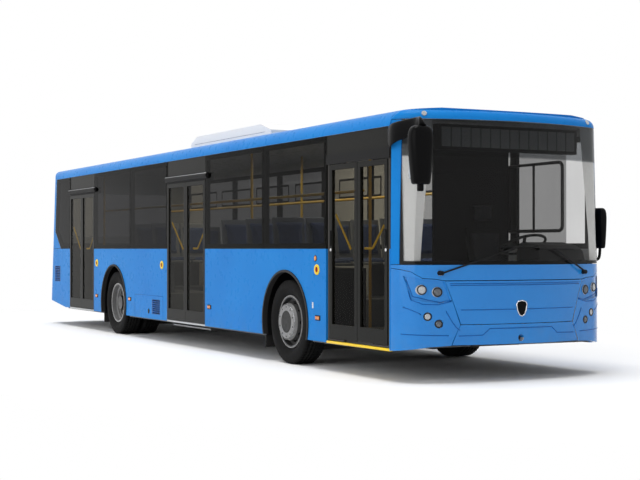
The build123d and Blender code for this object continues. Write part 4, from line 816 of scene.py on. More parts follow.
def add_housing(bm, low, high):
    """Moulded housing: rounded sections up a box."""
    middle, size = (low + high) / 2, high - low
    rings = []
    for height, width, depth in HOUSING_SECTIONS:
        ring = []
        for cosine, sine in circle(HOUSING_STEPS):
            reach = (abs(cosine) ** CORNER_POWER + abs(sine) ** CORNER_POWER) ** (-1 / CORNER_POWER)
            ring.append(bm.verts.new((middle.x + size.x / 2 * depth * reach * cosine,
                                      middle.y + size.y / 2 * width * reach * sine, low.z + size.z * height)))
        rings.append(ring)
    loft(bm, rings)


def make_mirrors():
    """Moulded housings with glass and curved arms, in place of the plain mirrors."""
    glasses = bmesh.new()
    for side_name, (low, high) in MIRROR_BOXES.items():
        bm = bmesh.new()
        add_housing(bm, low, high)
        housing = piece_from(bm, f"{side_name}_mirror_housing", "gloss_black", slot="black_plastic")
        if side_name == "right":
            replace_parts(housing, "mirrors")
        inset_y, inset_z = ((high.y - low.y) * GLASS_INSET[0], (high.z - low.z) * GLASS_INSET[1])
        add_rounded_box(glasses, (low.x - 0.001, low.y + inset_y, low.z + inset_z),
                        (low.x + 0.03, high.y - inset_y, high.z - inset_z * GLASS_TOP), 0.004)
    piece_from(glasses, "mirror_glasses", "mirror_glass", slot="black_plastic")
    bm = bmesh.new()
    low, high = MIRROR_BOXES["right"]
    middle_y = (low.y + high.y) / 2
    spine = [RIGHT_ROOT, RIGHT_ROOT + Vector((0.16, -0.03, 0.035)), (NOSE_X - 0.02, middle_y + 0.05, 2.475),
             (NOSE_X + 0.13, middle_y, 2.478), (NOSE_X + 0.15, middle_y, 2.43)]
    add_bracket(bm, smooth_path(spine), BRACKET_ROOT, BRACKET_TIP)
    add_rounded_box(bm, (NOSE_X + 0.10, middle_y - 0.02, low.z - 0.065),
                    (NOSE_X + 0.15, middle_y + 0.03, low.z + 0.02), 0.008)
    low = MIRROR_BOXES["left"][0]
    foot = Vector((PILLAR_X + 0.045, HALF_WIDTH - 0.012, low.z - 0.125))
    stalk_x, stalk_y = low.x + 0.1, low.y + 0.05
    stalk = [foot, foot + Vector((0, 0.06, 0.02)), (stalk_x, stalk_y, low.z - 0.03),
             (stalk_x, stalk_y, low.z + 0.06)]
    add_tube(bm, smooth_path(stalk), STALK_RADIUS, 14)
    piece_from(bm, "mirror_arms", "gloss_black", slot="black_plastic")


# ---- seats ----
PAD_VOXEL = 0.014
PAD_CAP = 0.024             # how far cloth may swell
PAD_PRESSURE = 4
PAD_FRAMES = 20
SEAM_SHARES = (-0.36, 0.36)         # places of the seams, as shares of a pad's width
SEAM_HALF = 0.014
SEAM_DEPTH = 0.006
PAIR_WIDTH = 0.88
SEAT_WIDTH = PAIR_WIDTH / 2
SEAT_DEPTH = 0.43
SEAT_TOP = 0.48
BACK_TOP = 1.0
BACK_RAKE = 0.09
BACK_LEAN = math.atan2(BACK_RAKE, BACK_TOP - SEAT_TOP)
SEAT_BASE_Z = BOX["floor"][0].z + 0.39
WALL_GAP = 0.08
SHELL_GAP = 0.012           # between two seats' shells, each side
LEG_REACH = 0.27
HOUSE_ROWS = 2              # rows on the wheel houses, which have legs and no step
FRONT_ROWS = [FRONT_AXLE_X - 0.45, FRONT_AXLE_X - 1.2, FRONT_AXLE_X - 1.95]
REAR_ROWS = [BOX["plug_door_leaves"][1].x - 2.152, REAR_AXLE_X + 0.72]
SEAT_ROWS = [(x, side) for x in FRONT_ROWS + REAR_ROWS for side in BOTH_SIDES] + [(REAR_AXLE_X - 1.4, 1)]
DRIVER_X = FRONT_AXLE_X + 1.15
DRIVER_Y = (BOX["steering_wheel"][0].y + BOX["steering_wheel"][1].y) / 2
DRIVER_TOP = BOX["floor"][0].z + 0.11 + SEAT_TOP
DRIVER_HALF = 0.23          # half width
DRIVER_BACK = 0.33          # half height
DRIVER_LEAN = BACK_LEAN * 0.85
PAD_RISE = Matrix.Rotation(-math.pi / 2, 4, "Y") @ Matrix.Rotation(math.pi, 4, "Z")     # flat pad to upright


def settle(piece):
    """Applies every modifier of a piece to its mesh."""
    graph = bpy.context.evaluated_depsgraph_get()
    result = bpy.data.meshes.new_from_object(piece.evaluated_get(graph))
    piece.modifiers.clear()
    piece.data = result


def stuffed(name, size, taper):
    """Mesh of a stuffed pad: blown up as cloth, with its swelling capped and two seams sewn in."""
    bm = bmesh.new()
    half = Vector(size) / 2
    add_box(bm, -half, half)
    for vert in bm.verts:
        if vert.co.x > 0:
            vert.co.y *= taper
    round_edges(bm, min(size) * 0.35)
    mesh = bpy.data.meshes.new(name)
    bm.to_mesh(mesh)
    bm.free()
    pad = placed(name, mesh)
    remesh = pad.modifiers.new("remesh", "REMESH")
    remesh.mode = "VOXEL"
    remesh.voxel_size = PAD_VOXEL
    settle(pad)
    rest = [v.co.copy() for v in pad.data.vertices]
    cloth = pad.modifiers.new("cloth", "CLOTH")
    cloth.settings.use_pressure = True
    cloth.settings.uniform_pressure_force = PAD_PRESSURE
    cloth.settings.effector_weights.gravity = 0
    for number in range(1, PAD_FRAMES + 1):
        bpy.context.scene.frame_set(number)
    settle(pad)
    for vert, start in zip(pad.data.vertices, rest):
        move = vert.co - start
        if move.length > PAD_CAP:
            vert.co = start + move.normalized() * PAD_CAP
    for vert in pad.data.vertices:
        for seam in SEAM_SHARES:
            near = abs(vert.co.y - seam * size[1]) / SEAM_HALF
            if near < 1 and vert.co.z > 0:
                vert.co.z -= SEAM_DEPTH * (1 - near)
    mesh = pad.data.copy()
    mesh.shade_smooth()
    bpy.data.objects.remove(pad)
    bpy.context.scene.frame_set(1)
    return mesh


def place_pad(mesh, name, matrix, cloth="seat_blue"):
    """One more copy of a pad, set in place."""
    data = mesh.copy()
    data.transform(matrix)
    data.materials.clear()
    data.materials.append(FINISHES[cloth])
    pad = placed(name, data)
    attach(pad, "body")


def from_wall(side, reach):
    """The two y values of something that reaches in from the seats' wall side."""
    wall_y = side * (HALF_WIDTH - WALL_GAP)
    return sorted((wall_y, wall_y - side * reach))


def make_seats():
    """Pairs of moulded seats with cloth pads on their steps, and the driver's seat."""
    cushion = stuffed("cushion_form", (SEAT_DEPTH - 0.07, SEAT_WIDTH - 0.07, 0.035), 0.95)
    back = stuffed("back_form", (BACK_TOP - SEAT_TOP - 0.09, SEAT_WIDTH - 0.08, 0.03), 0.93)
    turn = Matrix.Rotation(-BACK_LEAN, 4, "Y")
    top = SEAT_BASE_Z + SEAT_TOP
    back_half = Vector((0.014, SEAT_WIDTH / 2 - 0.014, (BACK_TOP - SEAT_TOP) / 2))
    shells = bmesh.new()
    for row, (x, side) in enumerate(SEAT_ROWS):
        on_house = row < HOUSE_ROWS
        if not on_house:
            y0, y1 = from_wall(side, PAIR_WIDTH)
            add_box(shells, (x - BACK_RAKE, y0, FLOOR_Z), (x + SEAT_DEPTH, y1, SEAT_BASE_Z))
        for number in (0, 1):
            y = side * (HALF_WIDTH - WALL_GAP) - side * SEAT_WIDTH * (number + 0.5)
            reach = SEAT_WIDTH / 2 - SHELL_GAP
            add_box(shells, (x, y - reach, top - 0.055), (x + SEAT_DEPTH, y + reach, top - 0.02))
            middle = Vector((x - BACK_RAKE / 2 + 0.012, y, SEAT_BASE_Z + (SEAT_TOP + BACK_TOP) / 2))
            add_box(shells, middle - back_half, middle + back_half, turn)
            spot = Matrix.Translation((x + SEAT_DEPTH / 2 + 0.012, y, top - 0.012))
            place_pad(cushion, f"cushion_{row}_{number}", spot)
            spot = Matrix.Translation(middle + Vector((0.026, 0, 0.01))) @ turn @ PAD_RISE
            place_pad(back, f"back_pad_{row}_{number}", spot)
        y0, y1 = from_wall(side, LEG_REACH)
        foot_z = BOX["wheel_houses"][1].z if on_house else SEAT_BASE_Z
        add_box(shells, (x + 0.1, y0, foot_z), (x + 0.2, y1, top - 0.05))
    make_driver_seat(cushion, back)
    shell = piece_from(shells, "seat_shells", "seat_shell", slot="interior_grey", smooth=False, soften=0.01)
    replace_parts(shell, "seats")


def make_driver_seat(cushion, back):
    """Driver's seat on its pedestal, with a head rest on two posts."""
    turn = Matrix.Rotation(-DRIVER_LEAN, 4, "Y")
    middle = Vector((DRIVER_X - 0.02, DRIVER_Y, DRIVER_TOP + DRIVER_BACK))
    back_half = Vector((0.018, DRIVER_HALF, DRIVER_BACK))
    top = middle + turn @ Vector((0, 0, DRIVER_BACK))
    chair = bmesh.new()
    add_box(chair, (DRIVER_X, DRIVER_Y - DRIVER_HALF, DRIVER_TOP - 0.06),
            (DRIVER_X + SEAT_DEPTH, DRIVER_Y + DRIVER_HALF, DRIVER_TOP - 0.025))
    add_box(chair, (DRIVER_X + 0.1, DRIVER_Y - DRIVER_HALF / 2, FLOOR_Z),
            (DRIVER_X + 0.33, DRIVER_Y + DRIVER_HALF / 2, DRIVER_TOP - 0.05))
    add_box(chair, middle - back_half, middle + back_half, turn)
    for post_y in (-0.06, 0.06):
        add_tube(chair, [top + Vector((0, post_y, -0.05)), top + Vector((-0.01, post_y, 0.12))], 0.008, 10)
    piece_from(chair, "driver_seat_shell", "cab_dark", slot="interior_grey", smooth=False, soften=0.012)
    spot = Matrix.Translation((DRIVER_X + SEAT_DEPTH / 2 + 0.01, DRIVER_Y, DRIVER_TOP - 0.012))
    place_pad(cushion, "driver_cushion", spot, "driver_cloth")
    for name, place, stretch in (("back", middle + Vector((0.03, 0, 0.02)), (1.35, 1.1, 1, 1)),
                                 ("head", top + Vector((0, 0, 0.17)), (0.45, 0.7, 1.5, 1))):
        spot = Matrix.Translation(place) @ (turn @ PAD_RISE) @ Matrix.Diagonal(stretch)
        place_pad(back, f"driver_{name}_pad", spot, "driver_cloth")


# ---- front: display, painted reflection behind the pillar, lamps ----
DISPLAY_MODULES = 14
DISPLAY_EDGE = 0.03
MODULE_GAP = 0.006
REFLECTION_ROWS = [BOX["windscreen"][0].z + 0.015 + 0.1 * k for k in range(14)]
REFLECTION_COLUMNS = [HALF_WIDTH - 0.15 + 0.01 * k for k in range(11)]
REFLECTION_BEHIND = 0.035
LAMPS = [  # y, z, radius, is bright
    (1.052, 0.908, 0.050, True), (0.905, 0.886, 0.050, False),
    (1.000, 0.650, 0.042, True), (0.895, 0.578, 0.042, False),
]
BEZEL_WIDTH = 0.012


def make_display():
    """Row of unlit display modules on the destination box."""
    low, high = BOX["destination_sign"]
    bm = bmesh.new()
    pitch = (high.y - low.y - 2 * DISPLAY_EDGE) / DISPLAY_MODULES
    for y in [low.y + DISPLAY_EDGE + pitch * k for k in range(DISPLAY_MODULES)]:
        add_box(bm, (high.x - 0.002, y + MODULE_GAP, low.z + DISPLAY_EDGE),
                (high.x + 0.008, y + pitch - MODULE_GAP, high.z - DISPLAY_EDGE))
    piece_from(bm, "display_modules", "led_face", slot="black_plastic", smooth=False, soften=0.003)


def make_pillar_reflection():
    """Pale sheet behind the curved door-side end of the windscreen, a painted reflection of its near corner.
    """
    bm = bmesh.new()
    rows = []
    for z in REFLECTION_ROWS:
        spots = [nose_point(-y, z) for y in REFLECTION_COLUMNS]
        rows.append([bm.verts.new(place - normal * REFLECTION_BEHIND) for place, normal in spots])
    for one, other in zip(rows, rows[1:]):
        stitch(bm, one, other, closed=False)
    reflection_sheet = piece_from(bm, "pillar_painted_reflection", "pale_trim_and_painted_reflection", slot="interior_grey")
    thick = reflection_sheet.modifiers.new("thickness", "SOLIDIFY")
    thick.thickness = 0.004
    thick.offset = 0


def make_lamps():
    """Round lamps in their panels: dark bezels, bright bowls and clear domes."""
    bezels, bowls, domes = bmesh.new(), bmesh.new(), bmesh.new()
    for side in BOTH_SIDES:
        for y, z, radius, bright in LAMPS:
            place, normal = nose_point(side * y, z)
            inner = radius - BEZEL_WIDTH
            bezel = [(0.0, radius - 0.002), (0.006, radius - 0.005), (0.006, inner), (0.0, inner)]
            add_ring(bezels, place, normal, bezel)
            add_dome(bowls if bright else domes, place + normal * 0.001, normal, inner, 0.008)
    piece_from(bezels, "lamp_bezels", "dark_trim", slot="black_plastic")
    piece_from(bowls, "lamp_bright_lenses", "lamp_clear")
    piece_from(domes, "lamp_dark_lenses", "lens_dark", slot="lamp_clear")


# ---- nose: pressed lines and badge ----
PANEL_LINES = [  # runs of (y, z) on both halves of the nose
    [(1.168, 1.009), (1.123, 0.845), (0.979, 0.806), (0.875, 0.786), (0.768, 0.805)],
    [(1.195, 0.741), (1.127, 0.706), (1.060, 0.671)],
    [(1.192, 1.042), (1.144, 0.811), (1.043, 0.768), (0.900, 0.765), (0.775, 0.795)],
    [(0.827, 0.700), (0.768, 0.600), (0.709, 0.515)],
    [(1.206, 0.479), (1.034, 0.469), (0.800, 0.464)],
    [(0.376, 0.526), (0.451, 0.464), (0.700, 0.458)],
]
BUMPER_STEP = [(-0.376, 0.526), (0.376, 0.526)]
FLAP_CREASES = [(0.967, 0.79), (0.950, 0.785), (0.711, 0.68)]       # height and half length
LINE_RADIUS = 0.0045
CREASE_RADIUS = 0.004
BADGE_OUTLINE = [(0.0, 0.795), (0.045, 0.785), (0.062, 0.760), (0.052, 0.700), (0.030, 0.655), (0.0, 0.640)]
BADGE_Y = -0.014
BADGE_FACES = (-0.002, 0.005)
BADGE_RIM = 0.006


def make_nose_lines():
    """Pressed lines of the nose: lamp surrounds, cheek and bumper steps, and the flap's creases, as thin
    tubes in a darker blue that paints their shade.
    """
    runs = [[(side * y, z) for y, z in run] for side in BOTH_SIDES for run in PANEL_LINES]
    runs = [nose_run(run) for run in runs + [BUMPER_STEP]]
    tubes_piece("nose_line_shade", "shade_and_seam_blue", runs, LINE_RADIUS, 8, slot="blue_paint")
    runs = [nose_run([(-half, z), (half, z)]) for z, half in FLAP_CREASES]
    tubes_piece("flap_crease_shade", "shade_and_seam_blue", runs, CREASE_RADIUS, 8, body="front_flap", slot="blue_paint")


def make_badge():
    """Bare shield where the badge would be."""
    outline = [(BADGE_Y + y, z) for y, z in BADGE_OUTLINE]
    outline += [(BADGE_Y - y, z) for y, z in reversed(BADGE_OUTLINE[1:-1])]
    bm = bmesh.new()
    back, front = ([bm.verts.new(nose_point(y, z, proud)[0]) for y, z in outline] for proud in BADGE_FACES)
    stitch(bm, back, front)
    bm.faces.new(front)
    bm.faces.new(back[::-1])
    piece_from(bm, "badge_plate", "gloss_black", "front_flap", "black_plastic", smooth=False, soften=0.0015)
    rim = [nose_point(y, z, BADGE_FACES[1])[0] for y, z in outline + outline[:2]]
    tubes_piece("badge_rim", "chrome", [rim], BADGE_RIM, 8, body="front_flap", slot="lamp_clear")


# ---- cab ----
POD_OUTLINE = [  # x ahead of the front axle, z
    (2.14, 1.176), (2.14, 1.30), (2.17, 1.355), (2.23, 1.375), (2.42, 1.345), (2.52, 1.30), (2.56, 1.150),
]
POD_SECTIONS = [  # y, inset
    (0.40, 0.03), (0.415, 0.006), (0.44, 0.0), (0.94, 0.0), (0.965, 0.006), (0.98, 0.03),
]
POD_HOOD_Z = 1.2            # the outline is inset above this height only
WINDOW_INSET = 0.055        # of the driver's window frame, from the body's side
WINDOW_CORNER = 0.06
WINDOW_DIVIDER = 0.47       # share of the window's length


def make_instrument_pod():
    """Hooded instrument pod on the dashboard, behind the steering wheel."""
    bm = bmesh.new()
    rings = []
    for y, inset in POD_SECTIONS:
        outline = [(x, z - inset if z > POD_HOOD_Z else z) for x, z in POD_OUTLINE]
        rings.append([bm.verts.new((FRONT_AXLE_X + x, y, z)) for x, z in outline])
    loft(bm, rings)
    piece_from(bm, "instrument_pod", "cab_dark", slot="black_plastic", smooth=False, soften=0.012)


def make_cab_header():
    """Dark panel from the partition's top up to the ceiling."""
    low, high = BOX["cab_partition"]
    panel = ((low.x, low.y, high.z), (low.x + 0.03, high.y, CANT_Z - 0.02))
    boxes_piece("cab_header", "cab_dark", [panel], 0.004, slot="black_plastic", smooth=False)


def make_driver_window():
    """Black frame and divider of the driver's opening window."""
    x0, x1 = DRIVER_WINDOW
    z0, z1 = DRIVER_WINDOW_Z
    y = HALF_WIDTH - WINDOW_INSET
    round_x = x1 - WINDOW_CORNER
    run = [(x0, z0)]
    for round_z, start in ((z0 + WINDOW_CORNER, -90), (z1 - WINDOW_CORNER, 0)):
        for angle in [math.radians(start + a) for a in range(0, 91, 15)]:
            run.append((round_x + WINDOW_CORNER * math.cos(angle), round_z + WINDOW_CORNER * math.sin(angle)))
    bm = bmesh.new()
    add_tube(bm, [(x, y, z) for x, z in run + [(x0, z1), (x0, z0)]], 0.019, 8)
    middle = x0 + (x1 - x0) * WINDOW_DIVIDER
    add_tube(bm, [(middle, y, z0), (middle, y, z1)], 0.014, 8)
    piece_from(bm, "driver_window_frame", "rubber")


# ---- sides ----
BUTTON_X = (FRONT_AXLE_X + 0.787, FRONT_AXLE_X - 3.888, FRONT_AXLE_X - 6.777)
BUTTON_Z = 1.08
BUTTON_RING = [(0.002, 0.060), (-0.008, 0.055), (-0.010, 0.036), (-0.006, 0.030), (0.002, 0.030)]
BUTTON_RADIUS = 0.030
PLUG_DOORS = {"middle": MIDDLE_DOOR, "rear": REAR_DOOR}
LEAVES = []                 # name, body, rear and front edge, is the front leaf of its pair
for place, end in (("ahead", "front"), ("behind", "rear")):
    low, high = BOX[f"front_door_leaf_{end}"]
    LEAVES.append((f"front_{place}", f"door_leaf_{end}", low.x, high.x, end == "front"))
for opening, (rear_x, ahead_x) in PLUG_DOORS.items():
    split_x = (rear_x + ahead_x) / 2
    LEAVES.append((f"{opening}_ahead", "body", split_x, ahead_x, True))
    LEAVES.append((f"{opening}_behind", "body", rear_x, split_x, False))
RAIL_Y = (RIGHT_Y + 0.0355, RIGHT_Y + 0.0465)
RAIL_WIDTH = 0.024
AHEAD_RAIL = [(-0.11, 1.54), (-0.34, 1.31), (-0.50, 1.31)]      # x from the leaf's front edge, z
BEHIND_RAIL = [(0.09, 1.67), (-0.18, 1.30)]                     # x from its rear, then its front edge
HANDLE_Y = (RIGHT_Y + 0.0022, RIGHT_Y + 0.012)
HANDLE_Z = (1.335, 1.50)
HANDLE_INSET = 0.03         # of its middle from the leaf's edge
HANDLE_HALF = 0.014         # half width
LOCK_RADIUS = 0.016
LEAF_INSET = 0.0105         # of the leaves' faces, from the body's side
LOCK_Z = 1.295
SILL_Y = RIGHT_Y + 0.049
SILL_Z = (SKIRT_Z - 0.007, SKIRT_Z + 0.017)
STEP_TOP_Z = SILL_Z[1] + 0.002
STEP_REACH = 0.05           # of the front door's tread edge past its leaves
HEADER_EDGE_Z = BOX["door_headers"][1].z - 0.02


def make_buttons():
    """Door buttons: yellow rings round red centres, on the door side."""
    rings, centres = bmesh.new(), bmesh.new()
    for x in BUTTON_X:
        add_turned(rings, [BUTTON_RING] * 40, x, RIGHT_Y, BUTTON_Z)
        add_dome(centres, Vector((x, RIGHT_Y - 0.002, BUTTON_Z)), TO_RIGHT, BUTTON_RADIUS, 0.008)
    piece_from(rings, "button_rings", "rail_yellow")
    piece_from(centres, "button_centres", "button_red", slot="lamp_red")


def make_door_fittings():
    """Yellow grab rails inside each leaf, and handles on the front leaves."""
    for name, body, x0, x1, ahead in LEAVES:
        bm = bmesh.new()
        if ahead:
            run = [(x1 + x, z) for x, z in AHEAD_RAIL]
        else:
            run = [(edge + x, z) for edge, (x, z) in zip((x0, x1), BEHIND_RAIL)]
        for start, end in zip(run, run[1:]):
            add_bar(bm, start, end, RAIL_WIDTH, RAIL_Y)
        piece_from(bm, f"{name}_grab_rail", "rail_yellow", body, soften=0.003)
    for name, body, x0, x1, ahead in LEAVES[:2]:
        x = x1 - HANDLE_INSET if ahead else x0 + HANDLE_INSET
        handle = tuple(zip((x - HANDLE_HALF, x + HANDLE_HALF), HANDLE_Y, HANDLE_Z))
        boxes_piece(f"{name}_handle", "gloss_black", [handle], 0.003, body=body, slot="black_plastic")
        bm = bmesh.new()
        add_dome(bm, Vector((x, RIGHT_Y + LEAF_INSET, LOCK_Z)), TO_RIGHT, LOCK_RADIUS, LOCK_RADIUS / 2)
        piece_from(bm, f"{name}_lock", "pale_trim_and_painted_reflection", body, "unit_white")


def make_door_surrounds():
    """Yellow tread edge at the front door, bright sills at the others, and the covers' bright edges."""
    x0 = BOX["front_door_leaf_rear"][0].x - STEP_REACH
    x1 = BOX["front_door_leaf_front"][1].x + STEP_REACH
    tread = ((x0, RIGHT_Y, SILL_Z[0]), (x1, SILL_Y, STEP_TOP_Z))
    boxes_piece("front_step_edge", "rail_yellow", [tread], 0.004)
    sills = [((x0, RIGHT_Y + 0.002, SILL_Z[0]), (x1, SILL_Y, SILL_Z[1])) for x0, x1 in PLUG_DOORS.values()]
    boxes_piece("door_sills", "bright_alu", sills, 0.004, slot="ramp_alu")
    edge_y = BOX["door_headers"][0].y + 0.012
    edges = [[(x, edge_y, HEADER_EDGE_Z) for x in (x0, x1 + 0.10)] for x0, x1 in PLUG_DOORS.values()]
    tubes_piece("header_edges", "bright_alu", edges, 0.0035, 8, slot="ramp_alu")


HOPPERS = 7
HOPPER_REAR_X = BOX["side_glass"][0].x + 0.15
HOPPER_GAP = 0.12           # from a hopper's side to the next post
HOPPER_Z = 2.03
HOPPER_HEIGHT = 0.27
HOPPER_Y = (HALF_WIDTH - 0.062, HALF_WIDTH - 0.056)
MARKER_X = (FRONT_AXLE_X + 0.810, MIDDLE_DOOR[1] + 0.149, REAR_AXLE_X + 0.744, REAR_AXLE_X - 0.817)
MARKER_Z = (BOX["marker_lamps"][0].z + BOX["marker_lamps"][1].z) / 2
MARKER_BASE = (0.056, 0.028)        # half length and half height
REPEATER = Vector((FRONT_AXLE_X + 0.752, RIGHT_Y, 1.203))
FILLER = Vector((FRONT_AXLE_X - 4.416, RIGHT_Y, 0.414))
FLAP_X = (FRONT_AXLE_X - 4.997, FRONT_AXLE_X - 3.849)
FLAP_TOP_Z = SKIRT_Z + 0.33
LEFT_SEAMS = [REAR_AXLE_X + 0.9 + 0.95 * k for k in range(1, 5)]
PLATE_X = (FRONT_AXLE_X + 0.675, FRONT_AXLE_X + 0.705)
PLATE_Z = (SKIRT_Z + 0.350, SKIRT_Z + 0.415)


def make_hopper_frames():
    """Bars and edges of the opening top lights, inside the panes."""
    bm = bmesh.new()
    pitch = (DRIVER_WINDOW[0] - HOPPER_REAR_X) / HOPPERS
    for k in range(HOPPERS):
        x0, x1 = HOPPER_REAR_X + pitch * k + HOPPER_GAP, HOPPER_REAR_X + pitch * (k + 1) - HOPPER_GAP
        bars = [(x0, x1, -0.02, 0.02), (x0, x1, HOPPER_HEIGHT - 0.03, HOPPER_HEIGHT)]
        bars += [(x - 0.012, x + 0.012, 0, HOPPER_HEIGHT - 0.01) for x in (x0, x1)]
        for start, end, low, high in bars:
            add_box(bm, (start, HOPPER_Y[0], HOPPER_Z + low), (end, HOPPER_Y[1], HOPPER_Z + high))
    piece_from(bm, "hopper_frames", "rubber", smooth=False)


def make_marker_bases():
    """Dark moulded bases round the amber side markers."""
    length, height = MARKER_BASE
    bases = []
    for side in BOTH_SIDES:
        inner, outer = sorted((side * (HALF_WIDTH - 0.002), side * (HALF_WIDTH + 0.007)))
        bases += [((x - length, inner, MARKER_Z - height), (x + length, outer, MARKER_Z + height))
                  for x in MARKER_X]
    boxes_piece("marker_bases", "gloss_black", bases, 0.003, slot="black_plastic", smooth=False)


def make_side_details():
    """Amber repeater, filler hole, service flap seams and a blank plate by the front door."""
    bm = bmesh.new()
    for place, radius, proud in ((REPEATER, 0.034, 0.004), (FILLER, 0.035, 0.002)):
        add_tube(bm, [place - TO_RIGHT * 0.002, place + TO_RIGHT * proud], radius, 32)
    piece_from(bm, "side_bases", "gloss_black", slot="black_plastic")
    bm = bmesh.new()
    add_dome(bm, REPEATER + TO_RIGHT * 0.004, TO_RIGHT, 0.026, 0.006)
    piece_from(bm, "side_repeater", "lamp_amber")
    bm = bmesh.new()
    foot_z = SKIRT_Z + 0.01
    rear, ahead = FLAP_X
    sides = [((x, foot_z), (x, FLAP_TOP_Z)) for x in FLAP_X]
    for run in [((rear, FLAP_TOP_Z), (ahead, FLAP_TOP_Z))] + sides:
        add_tube(bm, [(x, RIGHT_Y, z) for x, z in run], 0.0025, 6)
    for x in LEFT_SEAMS:
        add_tube(bm, [(x, HALF_WIDTH, foot_z), (x, HALF_WIDTH, BELT_Z - 0.02)], 0.002, 6)
    piece_from(bm, "panel_seams", "shade_and_seam_blue", slot="blue_paint")
    plate = tuple(zip(PLATE_X, (RIGHT_Y - 0.003, RIGHT_Y + 0.002), PLATE_Z))
    boxes_piece("blank_side_plate", "pale_trim_and_painted_reflection", [plate], 0.0015, slot="unit_white")


# ---- roof ----
UNIT_X = (FRONT_AXLE_X - 4.06, FRONT_AXLE_X - 1.38)
UNIT_TOP = BOX["roof_units"][1].z
LID_HALF = 0.73
LID_SIDE = 0.751
LID_ENDS = (UNIT_X[0] + 0.23, UNIT_X[1] - 0.32)
LID_SEAMS = 3
LID_SEAM = 0.004            # half width of a lid seam, and width of a side seam
SIDE_SEAM_ENDS = (UNIT_X[0] + 0.16, UNIT_X[1] - 0.2)
SIDE_SEAM_DROP = 0.106      # below the unit's top
FANS = [UNIT_X[0] + 0.62 + 0.66 * k for k in range(3)]
FAN_RINGS = (0.07, 0.12, 0.17, 0.22)
FAN_WIRE = 0.004
HATCHES = (REAR_AXLE_X - 1.2, FRONT_AXLE_X + 0.9)
HATCH_RIBS = (0.33, 0.25)


def make_roof_details():
    """Lid seams and fan grilles on the climate unit, ribs on the hatches."""
    bm = bmesh.new()
    rear, ahead = LID_ENDS
    for k in range(1, LID_SEAMS + 1):
        x = rear + (ahead - rear) * k / (LID_SEAMS + 1)
        add_box(bm, (x - LID_SEAM, -LID_HALF, UNIT_TOP - 0.001), (x + LID_SEAM, LID_HALF, UNIT_TOP + 0.002))
    rear, ahead = SIDE_SEAM_ENDS
    seam_z = UNIT_TOP - SIDE_SEAM_DROP
    for side in BOTH_SIDES:
        add_box(bm, (rear, side * LID_SIDE - 0.001, seam_z - LID_SEAM / 2),
                (ahead, side * LID_SIDE + 0.001, seam_z + LID_SEAM / 2))
    piece_from(bm, "unit_seams", "seat_shell", slot="interior_grey", smooth=False)
    wires = []
    for x in FANS:
        z = UNIT_TOP + FAN_WIRE
        turn = [math.radians(a) for a in range(0, 361, 12)]
        wires += [[(x + r * math.cos(a), r * math.sin(a), z) for a in turn] for r in FAN_RINGS]
        for a in [math.radians(a) for a in range(0, 180, 45)]:
            reach = Vector((math.cos(a), math.sin(a), 0)) * FAN_RINGS[-1]
            wires.append([Vector((x, 0, z)) - reach, Vector((x, 0, z)) + reach])
    tubes_piece("fan_grilles", "dark_trim", wires, FAN_WIRE, 6, slot="black_plastic")
    square = ((-1, -1), (1, -1), (1, 1), (-1, 1), (-1, -1))
    ribs = [[(centre + sx * half, sy * half, ROOF_Z + 0.06) for sx, sy in square]
            for centre in HATCHES for half in HATCH_RIBS]
    tubes_piece("hatch_ribs", "unit_white", ribs, 0.006, 6)


# ---- tail ----
NUMBER_PLATE = (0.26, 0.465, 0.577)     # half width, foot and top
TAIL_LAMP_Y = 0.955
TAIL_LAMP_Z = [BOX["tail_lamps"][0].z + 0.051 + 0.135 * k for k in range(3)]
TAIL_RING = [(0.0, 0.053), (0.007, 0.051), (0.007, 0.045), (0.0, 0.043)]
LOUVRE_Z = [BOX["engine_lid"][0].z + 0.10 + 0.045 * k for k in range(9)]
LOUVRE_HALF = 0.7
LOUVRE_STEPS = 20


def make_tail_details():
    """Blank number plate, lens rings and the engine lid's louvres."""
    half, foot_z, top_z = NUMBER_PLATE
    place, _ = tail_point(0, 0.52, 0.004)
    plate = ((place.x - 0.004, -half, foot_z), (place.x + 0.006, half, top_z))
    boxes_piece("blank_number_plate", "pale_trim_and_painted_reflection", [plate], 0.002, slot="unit_white")
    bm = bmesh.new()
    for side in BOTH_SIDES:
        for z in TAIL_LAMP_Z:
            add_ring(bm, *tail_point(side * TAIL_LAMP_Y, z), TAIL_RING)
    piece_from(bm, "tail_lamp_rings", "dark_trim", slot="black_plastic")
    across = [LOUVRE_HALF * (2 * i / LOUVRE_STEPS - 1) for i in range(LOUVRE_STEPS + 1)]
    louvres = [[tail_point(y, z, 0.001)[0] for y in across] for z in LOUVRE_Z]
    tubes_piece("lid_louvres", "dark_trim", louvres, 0.006, 6, body="engine_lid", slot="black_plastic")


# ---- stage ----


def make_stage():
    """White floor that fades into the background away from the bus."""
    bm = bmesh.new()
    bmesh.ops.create_grid(bm, x_segments=4, y_segments=4, size=FLOOR_HALF)
    mesh = bpy.data.meshes.new("floor_stage")
    bm.to_mesh(mesh)
    bm.free()
    floor = placed("floor_stage", mesh)
    finish = Finish("white_floor")
    finish.colour(finish.mixed(finish.noise(2, 3), (250, 250, 250), (252, 252, 252)))
    finish.set(Roughness=0.9, Specular_IOR_Level=0.0)
    scale = (1 / FLOOR_FADE[0], 1 / FLOOR_FADE[1], 1)
    stretched = finish.add("ShaderNodeMapping", {"Vector": finish.place, "Scale": scale})
    length = finish.add("ShaderNodeVectorMath", {0: stretched.outputs["Vector"]}, operation="LENGTH")
    far = finish.spread(length.outputs["Value"], FADE_START, 1)
    faded = finish.blended(far, finish.shader, finish.add("ShaderNodeEmission"))
    mesh.materials.append(finish.surface(faded))


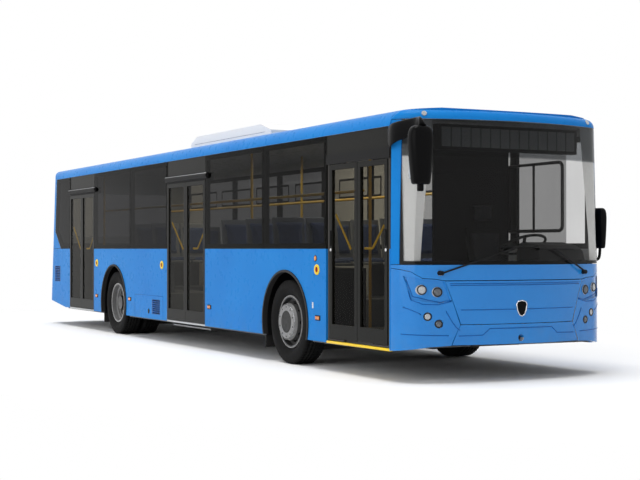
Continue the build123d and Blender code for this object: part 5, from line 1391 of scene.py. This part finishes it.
def make_world():
    """White to the camera, in reflections and through glass; everything else gets soft light from above."""
    world = bpy.data.worlds.new("studio")
    bpy.context.scene.world = world
    world.use_nodes = True
    world.node_tree.nodes.clear()
    sky = Nodes(world.node_tree)
    way = sky.add("ShaderNodeSeparateXYZ", {0: sky.add("ShaderNodeTexCoord").outputs["Generated"]})
    ambient = sky.spread(way.outputs["Z"], 0, AMBIENT_RISE, AMBIENT_LOW, AMBIENT_HIGH)
    path = sky.add("ShaderNodeLightPath")
    seen = path.outputs["Is Camera Ray"]
    for ray in ("Is Glossy Ray", "Is Transmission Ray"):
        seen = sky.combine("MAXIMUM", seen, path.outputs[ray])
    soft = sky.add("ShaderNodeBackground", {"Color": WHITE, "Strength": ambient})
    white = sky.add("ShaderNodeBackground", {"Color": WHITE, "Strength": 1})
    sky.add("ShaderNodeOutputWorld", {"Surface": sky.blended(seen, soft, white)})


def make_cabin_lights():
    """Strips of soft light under the cabin's ceiling."""
    for number, (x, power) in enumerate(CABIN_LIGHTS):
        lamp = bpy.data.lights.new(f"cabin_light_{number}", "AREA")
        lamp.shape = "RECTANGLE"
        lamp.size, lamp.size_y = CABIN_STRIP
        lamp.energy = power
        strip = placed(lamp.name, lamp)
        strip.location = (x, 0, CANT_Z - 0.04)
        strip.visible_camera = False


def make_suns():
    """Soft parallel light from above and from the side."""
    for name, towards, strength, softness in SUNS:
        lamp = bpy.data.lights.new(name, "SUN")
        lamp.energy = strength
        lamp.angle = softness
        placed(name, lamp).rotation_euler = Vector(towards).to_track_quat("-Z", "Y").to_euler()


def make_camera():
    lens = bpy.data.cameras.new("view")
    lens.sensor_width = SENSOR_WIDTH
    lens.lens = FOCAL_PIXELS * SENSOR_WIDTH / IMAGE_WIDTH
    lens.clip_end = VIEW_END
    camera = placed("view", lens)
    camera.location = CAMERA_AT
    level = math.cos(VIEW_PITCH)
    ahead, aside = math.cos(VIEW_OFF_AXIS) * level, math.sin(VIEW_OFF_AXIS) * level
    towards = Vector((-ahead, aside, math.sin(VIEW_PITCH)))
    camera.rotation_euler = towards.to_track_quat("-Z", "Y").to_euler()
    bpy.context.scene.camera = camera


for make in (
    make_camera, make_world, make_cabin_lights, make_suns, make_stage, make_tyres, make_wheel_fittings,
    make_mirrors, make_seats, make_display, make_pillar_reflection, make_lamps, make_nose_lines, make_badge,
    make_instrument_pod, make_cab_header, make_driver_window, make_buttons, make_door_fittings,
    make_door_surrounds, make_hopper_frames, make_marker_bases, make_side_details, make_roof_details,
    make_tail_details,
):
    make()

bpy.context.scene.view_settings.view_transform = "Standard"
